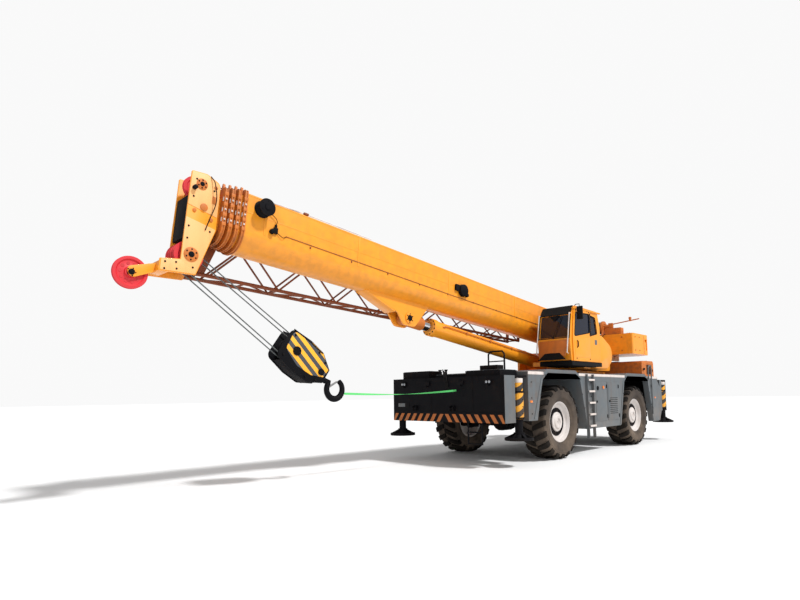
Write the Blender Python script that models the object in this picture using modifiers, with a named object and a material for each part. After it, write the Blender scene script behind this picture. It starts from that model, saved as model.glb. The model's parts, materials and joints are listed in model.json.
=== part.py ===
"""Rough terrain crane on two steered axles, with a box boom of five sections.

Metres, +Z up, +X forward, +Y left. Places are given from the slewing axis on the ground, and the
root empty moves them to the middle of the whole crane. Pieces of the boom are in the boom's own
frame: x along the boom from the foot pin, z square to it.
"""

import math

import bmesh
import bpy
from mathutils import Matrix, Vector

SEAT = 0.0003
RUNNING_GAP = 0.006
MERGE = 0.0001
FLAT_ANGLE = 0.0005
TUBE_TILT = 0.2

ROOT_SHIFT_X = -3.6166
ROOT_SHIFT_Y = 0.0

# wheels and axles
AXLES = (("front", 2.50), ("rear", -2.264))
TYRE_RADIUS = 0.93
TYRE_WIDTH = 0.69
WHEEL_CENTRE_Y = 1.431
KINGPIN_Y = 1.0
RIM_RADIUS = 0.503
RIM_SIDES = 20
LUGS_A_SIDE = 15
LUG_HEIGHT = 0.055
LUG_SWEEP = 0.30
HUB_RADIUS = 0.19
HUB_FACE = 0.02
KNUCKLE_BOSS_RADIUS = 0.10
KNUCKLE_BOSS_HALF = 0.16
AXLE_RADIUS = 0.14

# chassis
FRAME_HALF_WIDTH = 0.60
FRAME_BOTTOM = 1.22
FRAME_TOP = 1.98
FRAME_END = 4.10
DECK_HALF_WIDTH = 1.80
DECK_BOTTOM = 2.05
DECK_TOP = 2.17
PANEL_BOTTOM = 0.68
FRONT_PANEL_BOTTOM = 1.02
ARCH_BOTTOM_HALF = 1.30
ARCH_SHOULDER_HALF = 0.95
ARCH_SHOULDER_Z = 1.99
ARCH_CROWN_HALF = 0.72
ARCH_CROWN_Z = 2.15
ARCH_LIP_TOP = 2.24
LIP_RUN = 0.14
LADDER_X = (0.86, 1.22)
LADDER_Z = (0.44, 2.155)
LADDER_RUNGS = (2.0, 1.69, 1.38, 1.07, 0.76)
HOOD_X = (-4.30, -3.25)
HOOD_HALF_WIDTH = 1.62
HOOD_TOP = 2.72

# outriggers: name, x of the jack, side, and the box that holds the beam
OUTRIGGERS = (
    ("front_left", 4.38, 1),
    ("front_right", 4.74, -1),
    ("rear_left", -4.75, 1),
    ("rear_right", -4.39, -1),
)
BOX_X = (4.10, 5.005)
REAR_BOX_END = 4.975
BOX_Z = (1.00, 2.07)
BOX_HALF_WIDTH = 1.45
FACE_HALF_WIDTH = 1.763
FACE_THICK = 0.05
BEAM_WIDTH = 0.30
BEAM_Z = (1.15, 1.57)
BEAM_TAIL = 3.10
JACK_Y = 1.70
JACK_TUBE_RADIUS = 0.125
JACK_TUBE_Z = (1.08, 1.71)
JACK_CAP_RADIUS = 0.112
JACK_CAP_TOP = 2.0
JACK_LEG_RADIUS = 0.09
FLOAT_RADIUS = 0.33
FLOAT_Z = (0.60, 0.66)

# turret
RING_RADIUS = 0.59
TURRET_BOTTOM = 2.27
TURRET_DECK_TOP = 2.33
CHEEK_Y = (0.47, 0.53)
FOOT_PIN_X = -2.20
FOOT_PIN_Z = 3.40
FOOT_BOSS_RADIUS = 0.18
CYLINDER_PIN_X = 0.45
CYLINDER_PIN_Z = 2.57
CAB_SUPPORT_Z = (2.40, 2.5177)
TAIL_BEAM_Z = (2.77, 2.9267)
COUNTERWEIGHT_X = (-4.301, -2.749)
COUNTERWEIGHT_HALF_WIDTH = 1.566
COUNTERWEIGHT_Z = (2.927, 3.618)
WINCH_X = -3.25
WINCH_Z = 3.93

# cab
CAB_Y = (0.713, 1.690)
CAB_WALL = 0.045
CAB_OUTLINE = (
    (-0.05, 2.518, 0.0), (1.74, 2.518, 0.04), (1.80, 3.12, 0.0), (1.68, 3.78, 0.0),
    (1.50, 4.033, 0.08), (0.12, 3.985, 0.12), (-0.02, 3.55, 0.0),
)
DOOR_X = (0.62, 1.66)
DOOR_THICK = 0.032
DOOR_RAIL_Z = (2.518, 2.552)
GLASS_THICK = 0.008

# boom, in its own frame
BOOM_ELEVATION = math.radians(5.3)
BOOM_HALF_WIDTH = 0.38
BOOM_TOP = 0.548
BOOM_BOTTOM = -0.452
BOOM_REAR = -0.30
SECTION_STEP = 0.045
SECTION_WALL = 0.012
SECTION_COUNT = 5
COLLAR_START = 12.70
COLLAR_PITCH = 0.105
COLLAR_WIDTH = 0.055
COLLAR_RISE = 0.03
COLLAR_STEP = 0.02
SLIDE_GAP = 0.0005
HEAD_PLATE_Y = (0.235, 0.26)
HEAD_REAR = COLLAR_START + SECTION_COUNT * COLLAR_PITCH - 0.105
HEAD_BACK = HEAD_REAR + 0.001
HEAD_SHEAVE = (13.47, -0.75)
TOP_SHEAVE = (13.43, 0.44)
NOSE_SHEAVE = (14.22, -1.19)
NOSE_SHEAVE_RADIUS = 0.245
ROD_PIN = (8.50, -0.81)
ROD_EYE_RADIUS = 0.14
ROD_EYE_HALF_WIDTH = 0.118
EAR_Y = (0.13, 0.17)

# jib, stowed on the right of the boom
JIB_X = (2.98, 12.90)
JIB_TIP = (13.50, -0.86)
JIB_PLANES = (-0.55, -0.95)
JIB_CHORD = 0.07
JIB_TOP = -0.05
JIB_BOTTOM = (-0.40, -0.80)
JIB_BAYS = 7
JIB_LACING_RADIUS = 0.022
BRACKET_X = (3.9, 10.4)

# lift cylinder
BARREL_RADIUS = 0.1925
BARREL_LENGTH = 5.1
ROD_RADIUS = 0.12
BARREL_EYE_HALF_WIDTH = 0.16

# hook block, hanging from the head's lower sheaves
HOOK_SWING = math.radians(54.8)
SHEAVE_GROOVE = 0.19
SHEAVE_FLANGE = 0.235
SHEAVE_SIDE = 0.035
GROOVE_GAP = 0.0004
ROPE_RADIUS = 0.011
ROPE_TURN_RADIUS = 0.2118
BLOCK_SHEAVE_Z = -2.45
BLOCK_BOTTOM = -3.25
CROSSHEAD_BOTTOM = BLOCK_BOTTOM + 0.002
BLOCK_CHEEK_Y = (0.15, 0.18)
HEAD_GROOVES = (0.15, -0.03)
DEAD_END_Y = -0.19
BLOCK_GROOVES = (0.09, -0.09)
HOOK_BOWL_RADIUS = 0.19
HOOK_THICK = 0.055


def clear_scene() -> None:
    """Take away the objects of the start-up file."""
    for old in list(bpy.data.objects):
        bpy.data.objects.remove(old)


def new_collection(name):
    """A collection linked to the scene."""
    made = bpy.data.collections.new(name)
    bpy.context.scene.collection.children.link(made)
    return made


clear_scene()
MODEL = new_collection("rough_terrain_crane")
CUTTERS = new_collection("cutters")


def finish(name, colour, roughness, metallic=0.0):
    """A Principled material."""
    material = bpy.data.materials.new(name)
    material.use_nodes = True
    shader = material.node_tree.nodes["Principled BSDF"]
    shader.inputs["Base Color"].default_value = (*colour, 1.0)
    shader.inputs["Roughness"].default_value = roughness
    shader.inputs["Metallic"].default_value = metallic
    return material


YELLOW = finish("crane_yellow", (0.90, 0.42, 0.02), 0.38)
GREY = finish("chassis_grey", (0.13, 0.15, 0.16), 0.5)
BLACK = finish("frame_black", (0.015, 0.016, 0.02), 0.55)
OFF_WHITE = finish("rim_white", (0.70, 0.66, 0.62), 0.45)
RUBBER = finish("tyre_rubber", (0.035, 0.03, 0.028), 0.9)
RED = finish("sheave_red", (0.65, 0.05, 0.06), 0.45)
STEEL = finish("rod_chrome", (0.75, 0.75, 0.75), 0.2, 1.0)
GLASS = finish("cab_glass", (0.02, 0.03, 0.05), 0.08)
CABLE = finish("rope_steel", (0.25, 0.26, 0.26), 0.5, 0.8)
TRIM = finish("seat_black", (0.02, 0.02, 0.022), 0.7)


def carrier(name, parent, place, turn=(0.0, 0.0, 0.0)):
    """An empty on a joint's axis, placed in its parent's frame."""
    empty = bpy.data.objects.new(name, None)
    empty.parent = parent
    empty.location = place
    empty.rotation_euler = turn
    MODEL.objects.link(empty)
    return empty


def hidden(mesh):
    """A scratch solid among the cutters."""
    scratch = bpy.data.objects.new("scratch", mesh)
    scratch.hide_render = True
    scratch.display_type = "WIRE"
    CUTTERS.objects.link(scratch)
    return scratch


def evaluated_mesh(scratch):
    """The mesh that an object has after its modifiers, and the object taken away."""
    bpy.context.view_layer.update()
    graph = bpy.context.evaluated_depsgraph_get()
    mesh = bpy.data.meshes.new_from_object(scratch.evaluated_get(graph))
    bpy.data.objects.remove(scratch)
    return mesh


def closed(mesh, place=Matrix.Identity(4)):
    """A scratch solid from a mesh with its loose caps welded and its faces turned out."""
    made = bmesh.new()
    made.from_mesh(mesh)
    bmesh.ops.remove_doubles(made, verts=made.verts, dist=MERGE)
    bmesh.ops.transform(made, matrix=place, verts=made.verts)
    bmesh.ops.recalc_face_normals(made, faces=made.faces)
    made.to_mesh(mesh)
    made.free()
    return hidden(mesh)


def from_bmesh(made):
    """A scratch solid from a bmesh."""
    mesh = bpy.data.meshes.new("solid")
    made.to_mesh(mesh)
    made.free()
    return hidden(mesh)


def box(x, y, z):
    """A block between two places on each axis."""
    made = bmesh.new()
    bmesh.ops.create_cube(made, size=1.0)
    bmesh.ops.scale(made, vec=(x[1] - x[0], y[1] - y[0], z[1] - z[0]), verts=made.verts)
    middle = (sum(x) / 2, sum(y) / 2, sum(z) / 2)
    bmesh.ops.translate(made, vec=middle, verts=made.verts)
    return from_bmesh(made)


def rod(start, end, radius, sides=12, end_radius=None):
    """A round bar, or a cone with another radius at its end."""
    start = Vector(start)
    end = Vector(end)
    axis = end - start
    made = bmesh.new()
    bmesh.ops.create_cone(
        made, cap_ends=True, segments=sides, radius1=radius,
        radius2=radius if end_radius is None else end_radius, depth=axis.length,
    )
    turn = Vector((0, 0, 1)).rotation_difference(axis).to_matrix().to_4x4()
    place = Matrix.Translation((start + end) / 2) @ turn
    bmesh.ops.transform(made, matrix=place, verts=made.verts)
    return from_bmesh(made)


def cross_rod(x, z, y, radius, sides=16):
    """A round bar along Y."""
    return rod((x, y[0], z), (x, y[1], z), radius, sides)


def rounded(corners, steps=2):
    """An outline through corners of (u, v, radius), each with a fillet of its radius."""
    outline = []
    for index, (u, v, radius) in enumerate(corners):
        here = Vector((u, v))
        if radius == 0:
            outline.append((u, v))
            continue
        before = (Vector(corners[index - 1][:2]) - here).normalized()
        after = (Vector(corners[(index + 1) % len(corners)][:2]) - here).normalized()
        half = before.angle(after) / 2
        centre = here + (before + after).normalized() * radius / math.sin(half)
        reach = radius / math.tan(half)
        first = here + before * reach - centre
        last = here + after * reach - centre
        start = math.atan2(first.y, first.x)
        sweep = (math.atan2(last.y, last.x) - start + math.pi) % math.tau - math.pi
        for step in range(steps + 1):
            angle = start + sweep * step / steps
            outline.append((centre.x + radius * math.cos(angle), centre.y + radius * math.sin(angle)))
    return outline


def circle(u, v, radius, sides=24):
    """A round outline."""
    turns = [math.tau * side / sides for side in range(sides)]
    return [(u + radius * math.cos(turn), v + radius * math.sin(turn)) for turn in turns]


LAY = {
    "x": Matrix(((0, 0, 1, 0), (1, 0, 0, 0), (0, 1, 0, 0), (0, 0, 0, 1))),
    "y": Matrix(((1, 0, 0, 0), (0, 0, -1, 0), (0, 1, 0, 0), (0, 0, 0, 1))),
    "z": Matrix.Identity(4),
}


def plate(outline, across, span, holes=()):
    """A flat outline with a thickness along one axis: "y" takes (x, z), "x" (y, z), "z" (x, y)."""
    curve = bpy.data.curves.new("outline", "CURVE")
    curve.dimensions = "2D"
    curve.fill_mode = "BOTH"
    curve.extrude = (span[1] - span[0]) / 2
    for loop in (outline, *holes):
        spline = curve.splines.new("POLY")
        spline.points.add(len(loop) - 1)
        for point, (u, v) in zip(spline.points, loop):
            point.co = (u, v, 0.0, 1.0)
        spline.use_cyclic_u = True
    middle = Vector([sum(span) / 2 if axis == across else 0.0 for axis in "xyz"])
    return closed(evaluated_mesh(hidden(curve)), Matrix.Translation(middle) @ LAY[across])


def tube(points, radius, ends=None):
    """A bent round bar; ends gives a radius factor at each point."""
    curve = bpy.data.curves.new("route", "CURVE")
    curve.dimensions = "3D"
    curve.bevel_depth = radius
    curve.bevel_resolution = 2
    curve.use_fill_caps = True
    spline = curve.splines.new("POLY")
    spline.points.add(len(points) - 1)
    for index, (point, place) in enumerate(zip(spline.points, points)):
        point.co = (*place, 1.0)
        point.radius = ends[index] if ends else 1.0
        point.tilt = TUBE_TILT
    return closed(evaluated_mesh(hidden(curve)))


def turned(profile, centre, axis, sides, ring=False):
    """A profile of (radius, height), run down its outer side, turned about an axis."""
    mesh = bpy.data.meshes.new("profile")
    edges = [(index, index + 1) for index in range(len(profile) - 1)]
    if ring:
        edges.append((len(profile) - 1, 0))
    mesh.from_pydata([(radius, 0.0, height) for radius, height in profile], edges, [])
    scratch = hidden(mesh)
    screw = scratch.modifiers.new("turn", "SCREW")
    screw.steps = sides
    screw.render_steps = sides
    screw.use_merge_vertices = True
    screw.merge_threshold = MERGE
    turn = Vector((0, 0, 1)).rotation_difference(Vector(axis)).to_matrix().to_4x4()
    return closed(evaluated_mesh(scratch), Matrix.Translation(centre) @ turn)


def cut_or_join(body, tools, operation):
    """Stack Boolean modifiers on a scratch solid."""
    for tool in tools:
        boolean = body.modifiers.new(operation.lower(), "BOOLEAN")
        boolean.operation = operation
        boolean.object = tool
        boolean.solver = "EXACT"
        boolean.use_hole_tolerant = True


def tidy_faces(mesh):
    """Join the flat faces that cuts and joins have split, where the body stays closed."""
    made = bmesh.new()
    made.from_mesh(mesh)
    bmesh.ops.remove_doubles(made, verts=made.verts, dist=MERGE / 10)
    bmesh.ops.dissolve_limit(made, angle_limit=FLAT_ANGLE, verts=made.verts, edges=made.edges)
    bmesh.ops.triangulate(made, faces=made.faces)
    if all(edge.is_manifold for edge in made.edges):
        made.to_mesh(mesh)
    made.free()


def fused(name, material, parent, solids, cuts=()):
    """One closed node from solids joined and cuts taken away."""
    body, *others = solids
    cut_or_join(body, others, "UNION")
    cut_or_join(body, cuts, "DIFFERENCE")
    mesh = evaluated_mesh(body)
    for tool in (*others, *cuts):
        bpy.data.objects.remove(tool)
    tidy_faces(mesh)
    mesh.shade_smooth()
    mesh.set_sharp_from_angle(angle=math.radians(30))
    mesh.materials.clear()
    mesh.materials.append(material)
    return node(name, mesh, parent)


def node(name, mesh, parent):
    """A named object of the model, which may share its mesh."""
    made = bpy.data.objects.new(name, mesh)
    made.parent = parent
    MODEL.objects.link(made)
    return made


def side_pair(y):
    """The same span of Y on the left and on the right."""
    return (y, (-y[1], -y[0]))


def flat_share(turn):
    """How far out the rim's flat sides lie at a part of a turn, against its corners."""
    side = math.tau / RIM_SIDES
    within = math.tau * turn % side - side / 2
    return math.cos(side / 2) / math.cos(within)


def tyre():
    """A lugged tyre: angular loops whose shoulder and tread rise under each lug."""
    half = TYRE_WIDTH / 2
    void = TYRE_RADIUS - LUG_HEIGHT
    crown = 0.035
    # y, radius in a void, radius on a lug, side of the lugs: 1 left, -1 right, 0 none
    stations = (
        (half - 0.09, RIM_RADIUS, RIM_RADIUS, 0),
        (half, 0.72, 0.72, 0),
        (half - 0.02, void - 0.03, TYRE_RADIUS - 0.025, 1),
        (crown, void, TYRE_RADIUS, 1),
        (-crown, void, TYRE_RADIUS, -1),
        (0.02 - half, void - 0.03, TYRE_RADIUS - 0.025, -1),
        (-half, 0.72, 0.72, 0),
        (0.09 - half, RIM_RADIUS, RIM_RADIUS, 0),
    )
    # shares of a lug's pitch, set so that a tread corner stands at the tyre's very bottom
    lug_edges = (-0.25, -0.17, 0.25, 0.33)
    count = LUGS_A_SIDE * len(lug_edges)
    made = bmesh.new()
    loops = []
    for y, low, high, side in stations:
        loop = []
        for step in range(count):
            lug, edge = divmod(step, len(lug_edges))
            if side == 0:
                turn = step / count
                radius = low * flat_share(turn) if low == RIM_RADIUS else low
            else:
                turn = (lug + lug_edges[edge] + LUG_SWEEP * (abs(y) - crown) / half) / LUGS_A_SIDE
                radius = high if (edge in (1, 2)) == (side == 1) else low
            angle = math.tau * turn
            loop.append(made.verts.new((radius * math.cos(angle), y, radius * math.sin(angle))))
        loops.append(loop)
    for index, loop in enumerate(loops):
        beside = loops[(index + 1) % len(loops)]
        for step in range(count):
            after = (step + 1) % count
            made.faces.new((loop[step], loop[after], beside[after], beside[step]))
    bmesh.ops.triangulate(made, faces=made.faces)
    bmesh.ops.recalc_face_normals(made, faces=made.faces)
    return from_bmesh(made)


def rim():
    """A dished disc with its hub cap, turned about the wheel's axis, outer side up."""
    seat = RIM_RADIUS - SEAT - 0.0001
    face = TYRE_WIDTH / 2 - 0.09
    profile = (
        (0.0, 0.20), (0.23, 0.20), (0.25, 0.09), (0.33, 0.09), (0.35, 0.17), (0.47, face), (seat, face),
        (seat, -face), (0.45, -face), (0.44, HUB_FACE + 0.04), (0.22, HUB_FACE), (0.0, HUB_FACE),
    )
    return turned(profile, (0, 0, 0), (0, 1, 0), RIM_SIDES)


def knuckle():
    """The steered hub carrier: two arms over the kingpin boss, a flange and the wheel's hub."""
    reach = WHEEL_CENTRE_Y - KINGPIN_Y
    arm_low = KNUCKLE_BOSS_HALF + SEAT
    arm_high = arm_low + 0.045
    arm = ((-0.10, 0.0, 0.0), (-0.16, 0.19, 0.0), (0.16, 0.19, 0.0), (0.10, 0.0, 0.0))
    solids = [rod((0, 0.15, 0), (0, 0.19, 0), 0.24, 16)]
    solids.append(rod((0, 0.17, 0), (0, reach + HUB_FACE - SEAT, 0), HUB_RADIUS, 16))
    for span in ((arm_low, arm_high), (-arm_high, -arm_low)):
        solids.append(plate(rounded(arm), "z", span))
        solids.append(rod((0, 0, span[0]), (0, 0, span[1]), KNUCKLE_BOSS_RADIUS, 12))
    return solids


def wheels_and_axles(root):
    """Two axles, four knuckles, four rims and four tyres."""
    shared = {}
    for end, x in AXLES:
        boss = (TYRE_RADIUS - KNUCKLE_BOSS_HALF, TYRE_RADIUS + KNUCKLE_BOSS_HALF)
        solids = [rod((x, -0.93, TYRE_RADIUS), (x, 0.93, TYRE_RADIUS), AXLE_RADIUS, 16)]
        solids.append(rod((x - 0.21, 0.02, TYRE_RADIUS), (x + 0.21, 0.02, TYRE_RADIUS), 0.27, 14))
        for side in (1, -1):
            place = side * KINGPIN_Y
            solids.append(rod((x, place, boss[0]), (x, place, boss[1]), KNUCKLE_BOSS_RADIUS, 12))
            solids.append(box((x - 0.07, x + 0.07), sorted((side * 0.85, side * 0.96)),
                              (TYRE_RADIUS - 0.11, TYRE_RADIUS + 0.11)))
            solids.append(box((x - 0.32, x + 0.32), sorted((side * 0.36, side * 0.52)),
                              (FRAME_BOTTOM - 0.09, FRAME_BOTTOM - SEAT)))
            solids.append(box((x - 0.12, x + 0.12), sorted((side * 0.38, side * 0.50)),
                              (TYRE_RADIUS, FRAME_BOTTOM - 0.05)))
        fused(f"axle_{end}", BLACK, root, solids)
        for name, side in (("left", 1), ("right", -1)):
            turn = (0.0, 0.0, 0.0 if side == 1 else math.pi)
            pin = carrier(f"steer_{end}_{name}", root, (x, side * KINGPIN_Y, TYRE_RADIUS), turn)
            hub = carrier(f"wheel_{end}_{name}", pin, (0, WHEEL_CENTRE_Y - KINGPIN_Y, 0))
            pieces = (("knuckle", BLACK, pin, knuckle), ("rim", OFF_WHITE, hub, lambda: [rim()]),
                      ("tyre", RUBBER, hub, lambda: [tyre()]))
            for piece, material, parent, make in pieces:
                label = f"{piece}_{end}_{name}"
                if piece in shared:
                    node(label, shared[piece], parent)
                else:
                    shared[piece] = fused(label, material, parent, make()).data


def arch(centre, bottom, offset=0.0):
    """The points of a wheel opening, from its rear foot over the crown to its front foot."""
    half = (
        (-ARCH_BOTTOM_HALF, bottom), (-ARCH_SHOULDER_HALF, ARCH_SHOULDER_Z),
        (-ARCH_CROWN_HALF, ARCH_CROWN_Z),
    )
    points = [(x - offset, z + offset) for x, z in half]
    points += [(-x, z) for x, z in reversed(points)]
    return [(centre + x, z) for x, z in points]


def lip_top(centre):
    """The raised strip of the deck over a wheel, from front to rear."""
    run = ARCH_CROWN_HALF
    ramp = run + LIP_RUN
    points = ((ramp, DECK_TOP), (run, ARCH_LIP_TOP), (-run, ARCH_LIP_TOP), (-ramp, DECK_TOP))
    return [(centre + x, z) for x, z in points]


def side_deck(root, name, side):
    """One side's deck, arches, panels, ladder and rail."""
    front, rear = (x for _, x in AXLES)
    inner = side * (FRAME_HALF_WIDTH + SEAT)
    outer = side * DECK_HALF_WIDTH
    end = FRAME_END - SEAT
    outline = [(-end, PANEL_BOTTOM)] if side == 1 else [(-end, PANEL_BOTTOM + 0.3), (-end + 0.3, PANEL_BOTTOM)]
    outline += arch(rear, PANEL_BOTTOM)
    outline += arch(front, PANEL_BOTTOM)
    foot = outline.pop()
    outline.append((foot[0] - 0.08, FRONT_PANEL_BOTTOM))
    outline += [(end, FRONT_PANEL_BOTTOM), (end, DECK_TOP)]
    outline += lip_top(front) + lip_top(rear) + [(-end, DECK_TOP)]
    span = sorted((inner, outer))
    solids = [plate(outline, "y", span)]
    cuts = []
    # room for the axle's ends and the steered wheels' inner edges in the middle block
    skin = side * (DECK_HALF_WIDTH - 0.16)
    for x0, x1 in ((-end - 0.05, rear - 0.9), (front + 0.9, end + 0.05)):
        cuts.append(box((x0, x1), sorted((side * 0.5, skin)), (0.5, DECK_BOTTOM)))
    rail_y = side * (DECK_HALF_WIDTH + 0.035)
    for x in LADDER_X:
        solids.append(box((x - 0.015, x + 0.015), sorted((outer - side * 0.01, side * 1.87)), LADDER_Z))
    for z in LADDER_RUNGS:
        solids.append(box(LADDER_X, sorted((outer - side * 0.01, side * 1.90)), (z - 0.022, z + 0.022)))
    route = ((-3.22, rail_y, 2.06), (-3.22, rail_y, 2.44), (-3.28, rail_y, 2.52), (-3.43, rail_y, 2.52),
             (-3.49, rail_y, 2.44), (-3.49, rail_y, 0.92))
    solids.append(tube(route, 0.02))
    for x, z in ((-3.22, 2.13), (-3.49, 1.85), (-3.49, 1.15)):
        solids.append(box((x - 0.03, x + 0.03), sorted((outer - side * 0.01, side * 1.86)), (z - 0.03, z + 0.03)))
    if side == 1:
        # the rear corner runs on past the box, with its upper edge taken off
        corner = ((-4.38, 1.0), (-4.20, PANEL_BOTTOM + 0.01), (-4.04, PANEL_BOTTOM + 0.01), (-4.04, 2.02), (-4.12, 2.02),
                  (-4.38, 1.74))
        solids.append(plate(corner, "y", (1.54, DECK_HALF_WIDTH - 0.004)))
    fused(f"side_deck_{name}", GREY, root, solids, cuts)


def outrigger_box(root, name, side):
    """A box across the chassis with two tunnels for the beams."""
    far = BOX_X[1] if side == 1 else REAR_BOX_END
    near = BOX_X[0]
    body = sorted((side * near, side * (far - FACE_THICK)))
    solids = [box(body, (-BOX_HALF_WIDTH, BOX_HALF_WIDTH), (BOX_Z[0], BOX_Z[1] - 0.01))]
    face = sorted((side * (far - FACE_THICK - 0.01), side * far))
    solids.append(box(face, (-FACE_HALF_WIDTH, FACE_HALF_WIDTH), BOX_Z))
    roof = sorted((side * near, side * far))
    solids.append(box(roof, (-FACE_HALF_WIDTH, FACE_HALF_WIDTH), (BOX_Z[1] - 0.03, BOX_Z[1])))
    cuts = []
    for _, x, _ in OUTRIGGERS:
        if x * side > 0:
            half = BEAM_WIDTH / 2 + RUNNING_GAP
            cuts.append(box((x - half, x + half), (-BOX_HALF_WIDTH - 0.05, BOX_HALF_WIDTH + 0.05),
                            (BEAM_Z[0] - SEAT, BEAM_Z[1] + RUNNING_GAP)))
    if side == 1:
        solids += front_equipment(far)
    else:
        solids.append(box((-4.93, -4.60), (-0.9, 0.9), (2.06, 2.30)))
    fused(name, BLACK, root, solids, cuts)


def front_equipment(face):
    """Stepped lockers, ladder, lamps, plate and hoop on the front box."""
    # x, y and z spans of the lockers on the box
    lockers = (
        ((4.25, 4.93), (0.62, 1.60), (2.06, 2.20)),
        ((4.25, 4.80), (-0.45, 0.60), (2.06, 2.14)),
        ((4.35, 4.85), (-1.55, -0.62), (2.06, 2.25)),
        ((4.35, 4.60), (0.80, 1.30), (2.19, 2.33)),
    )
    solids = [box(*locker) for locker in lockers]
    for y in (0.54, 1.35, -0.54, -1.35):
        solids.append(box((face - 0.01, face + 0.03), (y - 0.075, y + 0.075), (1.89, 1.97)))
    solids.append(box((face - 0.01, face + 0.008), (-1.58, -1.18), (1.34, 1.46)))
    for y in (0.71, 1.11):
        solids.append(tube(((face - 0.03, y, 1.08), (face - 0.03, y, 0.50)), 0.018))
    for z in (0.52, 0.78):
        solids.append(tube(((face - 0.03, 0.70, z), (face - 0.03, 1.12, z)), 0.016))
    for y in (-0.38, -0.18):
        solids.append(tube(((4.70, y, 2.10), (4.70, y, 2.27)), 0.03))
    hoop = ((4.30, 0.84, 2.17), (4.30, 0.84, 2.60), (4.30, 0.90, 2.67), (4.30, 1.24, 2.67),
            (4.30, 1.30, 2.60), (4.30, 1.30, 2.17))
    solids.append(tube(hoop, 0.022))
    solids.append(cross_rod(4.30, 2.43, (0.835, 1.305), 0.014, 6))
    return solids


def outriggers(root):
    """Four beams with their jack tubes, and the four jack legs with floats."""
    shared = {}
    low, high = JACK_TUBE_Z
    for name, x, side in OUTRIGGERS:
        turn = (0.0, 0.0, 0.0 if side == 1 else math.pi)
        beam = carrier(f"slide_{name}", root, (x, side * JACK_Y, 0.0), turn)
        jack = carrier(f"jack_{name}", beam, (0.0, 0.0, 0.0))
        if shared:
            node(f"outrigger_beam_{name}", shared["beam"], beam)
            node(f"jack_leg_{name}", shared["leg"], jack)
            continue
        half = BEAM_WIDTH / 2
        solids = [rod((0, 0, low), (0, 0, high), JACK_TUBE_RADIUS, 16)]
        solids.append(rod((0, 0, high - 0.01), (0, 0, JACK_CAP_TOP), JACK_CAP_RADIUS, 16))
        solids.append(box((-half, half), (-BEAM_TAIL, -0.05), BEAM_Z))
        bore = rod((0, 0, low - 0.05), (0, 0, JACK_CAP_TOP - 0.03), JACK_LEG_RADIUS + SLIDE_GAP, 16)
        hollow = box((0.02 - half, half - 0.02), (-BEAM_TAIL - 0.05, -0.20),
                     (BEAM_Z[0] + 0.02, BEAM_Z[1] - 0.02))
        shared["beam"] = fused(f"outrigger_beam_{name}", YELLOW, beam, solids, [bore, hollow]).data
        leg = [rod((0, 0, FLOAT_Z[1] + 0.02), (0, 0, JACK_CAP_TOP - 0.10), JACK_LEG_RADIUS, 16)]
        leg.append(rod((0, 0, FLOAT_Z[0]), (0, 0, FLOAT_Z[1]), FLOAT_RADIUS, 20))
        leg.append(rod((0, 0, FLOAT_Z[1] - 0.01), (0, 0, FLOAT_Z[1] + 0.10), 0.19, 16, 0.11))
        shared["leg"] = fused(f"jack_leg_{name}", BLACK, jack, leg).data


def chassis(root):
    """The frame between the axles, the slewing ring, the boxes, decks and the engine hood."""
    tail = FRAME_END - SEAT
    outline = ((-tail, 1.40), (-3.4, FRAME_BOTTOM), (3.4, FRAME_BOTTOM), (tail, 1.40), (tail, FRAME_TOP),
               (-tail, FRAME_TOP))
    half = FRAME_HALF_WIDTH
    holes = [circle(x, 1.62, 0.17, 16) for x in (-1.2, 1.2)]
    cuts = [plate(hole, "y", (-half - 0.1, half + 0.1)) for hole in holes]
    fused("chassis_frame", BLACK, root, [plate(outline, "y", (-half, half))], cuts)
    low = FRAME_TOP + SEAT
    high = TURRET_BOTTOM - SEAT
    ring = ((0.40, high), (RING_RADIUS - 0.06, high), (RING_RADIUS - 0.06, 2.20), (RING_RADIUS, 2.18),
            (RING_RADIUS, 2.08), (RING_RADIUS - 0.04, 2.06), (RING_RADIUS - 0.04, low), (0.40, low))
    fused("slewing_ring", BLACK, root, [turned(ring, (0, 0, 0), (0, 0, 1), 22, ring=True)])
    side_deck(root, "left", 1)
    side_deck(root, "right", -1)
    outrigger_box(root, "front_outrigger_box", 1)
    outrigger_box(root, "rear_outrigger_box", -1)
    hood = rounded(((HOOD_X[0], DECK_TOP + SEAT, 0), (HOOD_X[1], DECK_TOP + SEAT, 0),
                    (HOOD_X[1], HOOD_TOP - 0.02, 0.08), (HOOD_X[0], HOOD_TOP, 0.10)))
    solids = [plate(hood, "y", (-HOOD_HALF_WIDTH, HOOD_HALF_WIDTH))]
    solids.append(rod((-3.55, -1.25, 2.40), (-3.55, -1.25, 2.735), 0.06, 16))
    grille = [box((HOOD_X[0] - 0.05, HOOD_X[0] + 0.03), (-1.3, 1.3), (z, z + 0.03)) for z in (2.27, 2.35, 2.43, 2.51)]
    fused("engine_hood", YELLOW, root, solids, grille)


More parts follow.
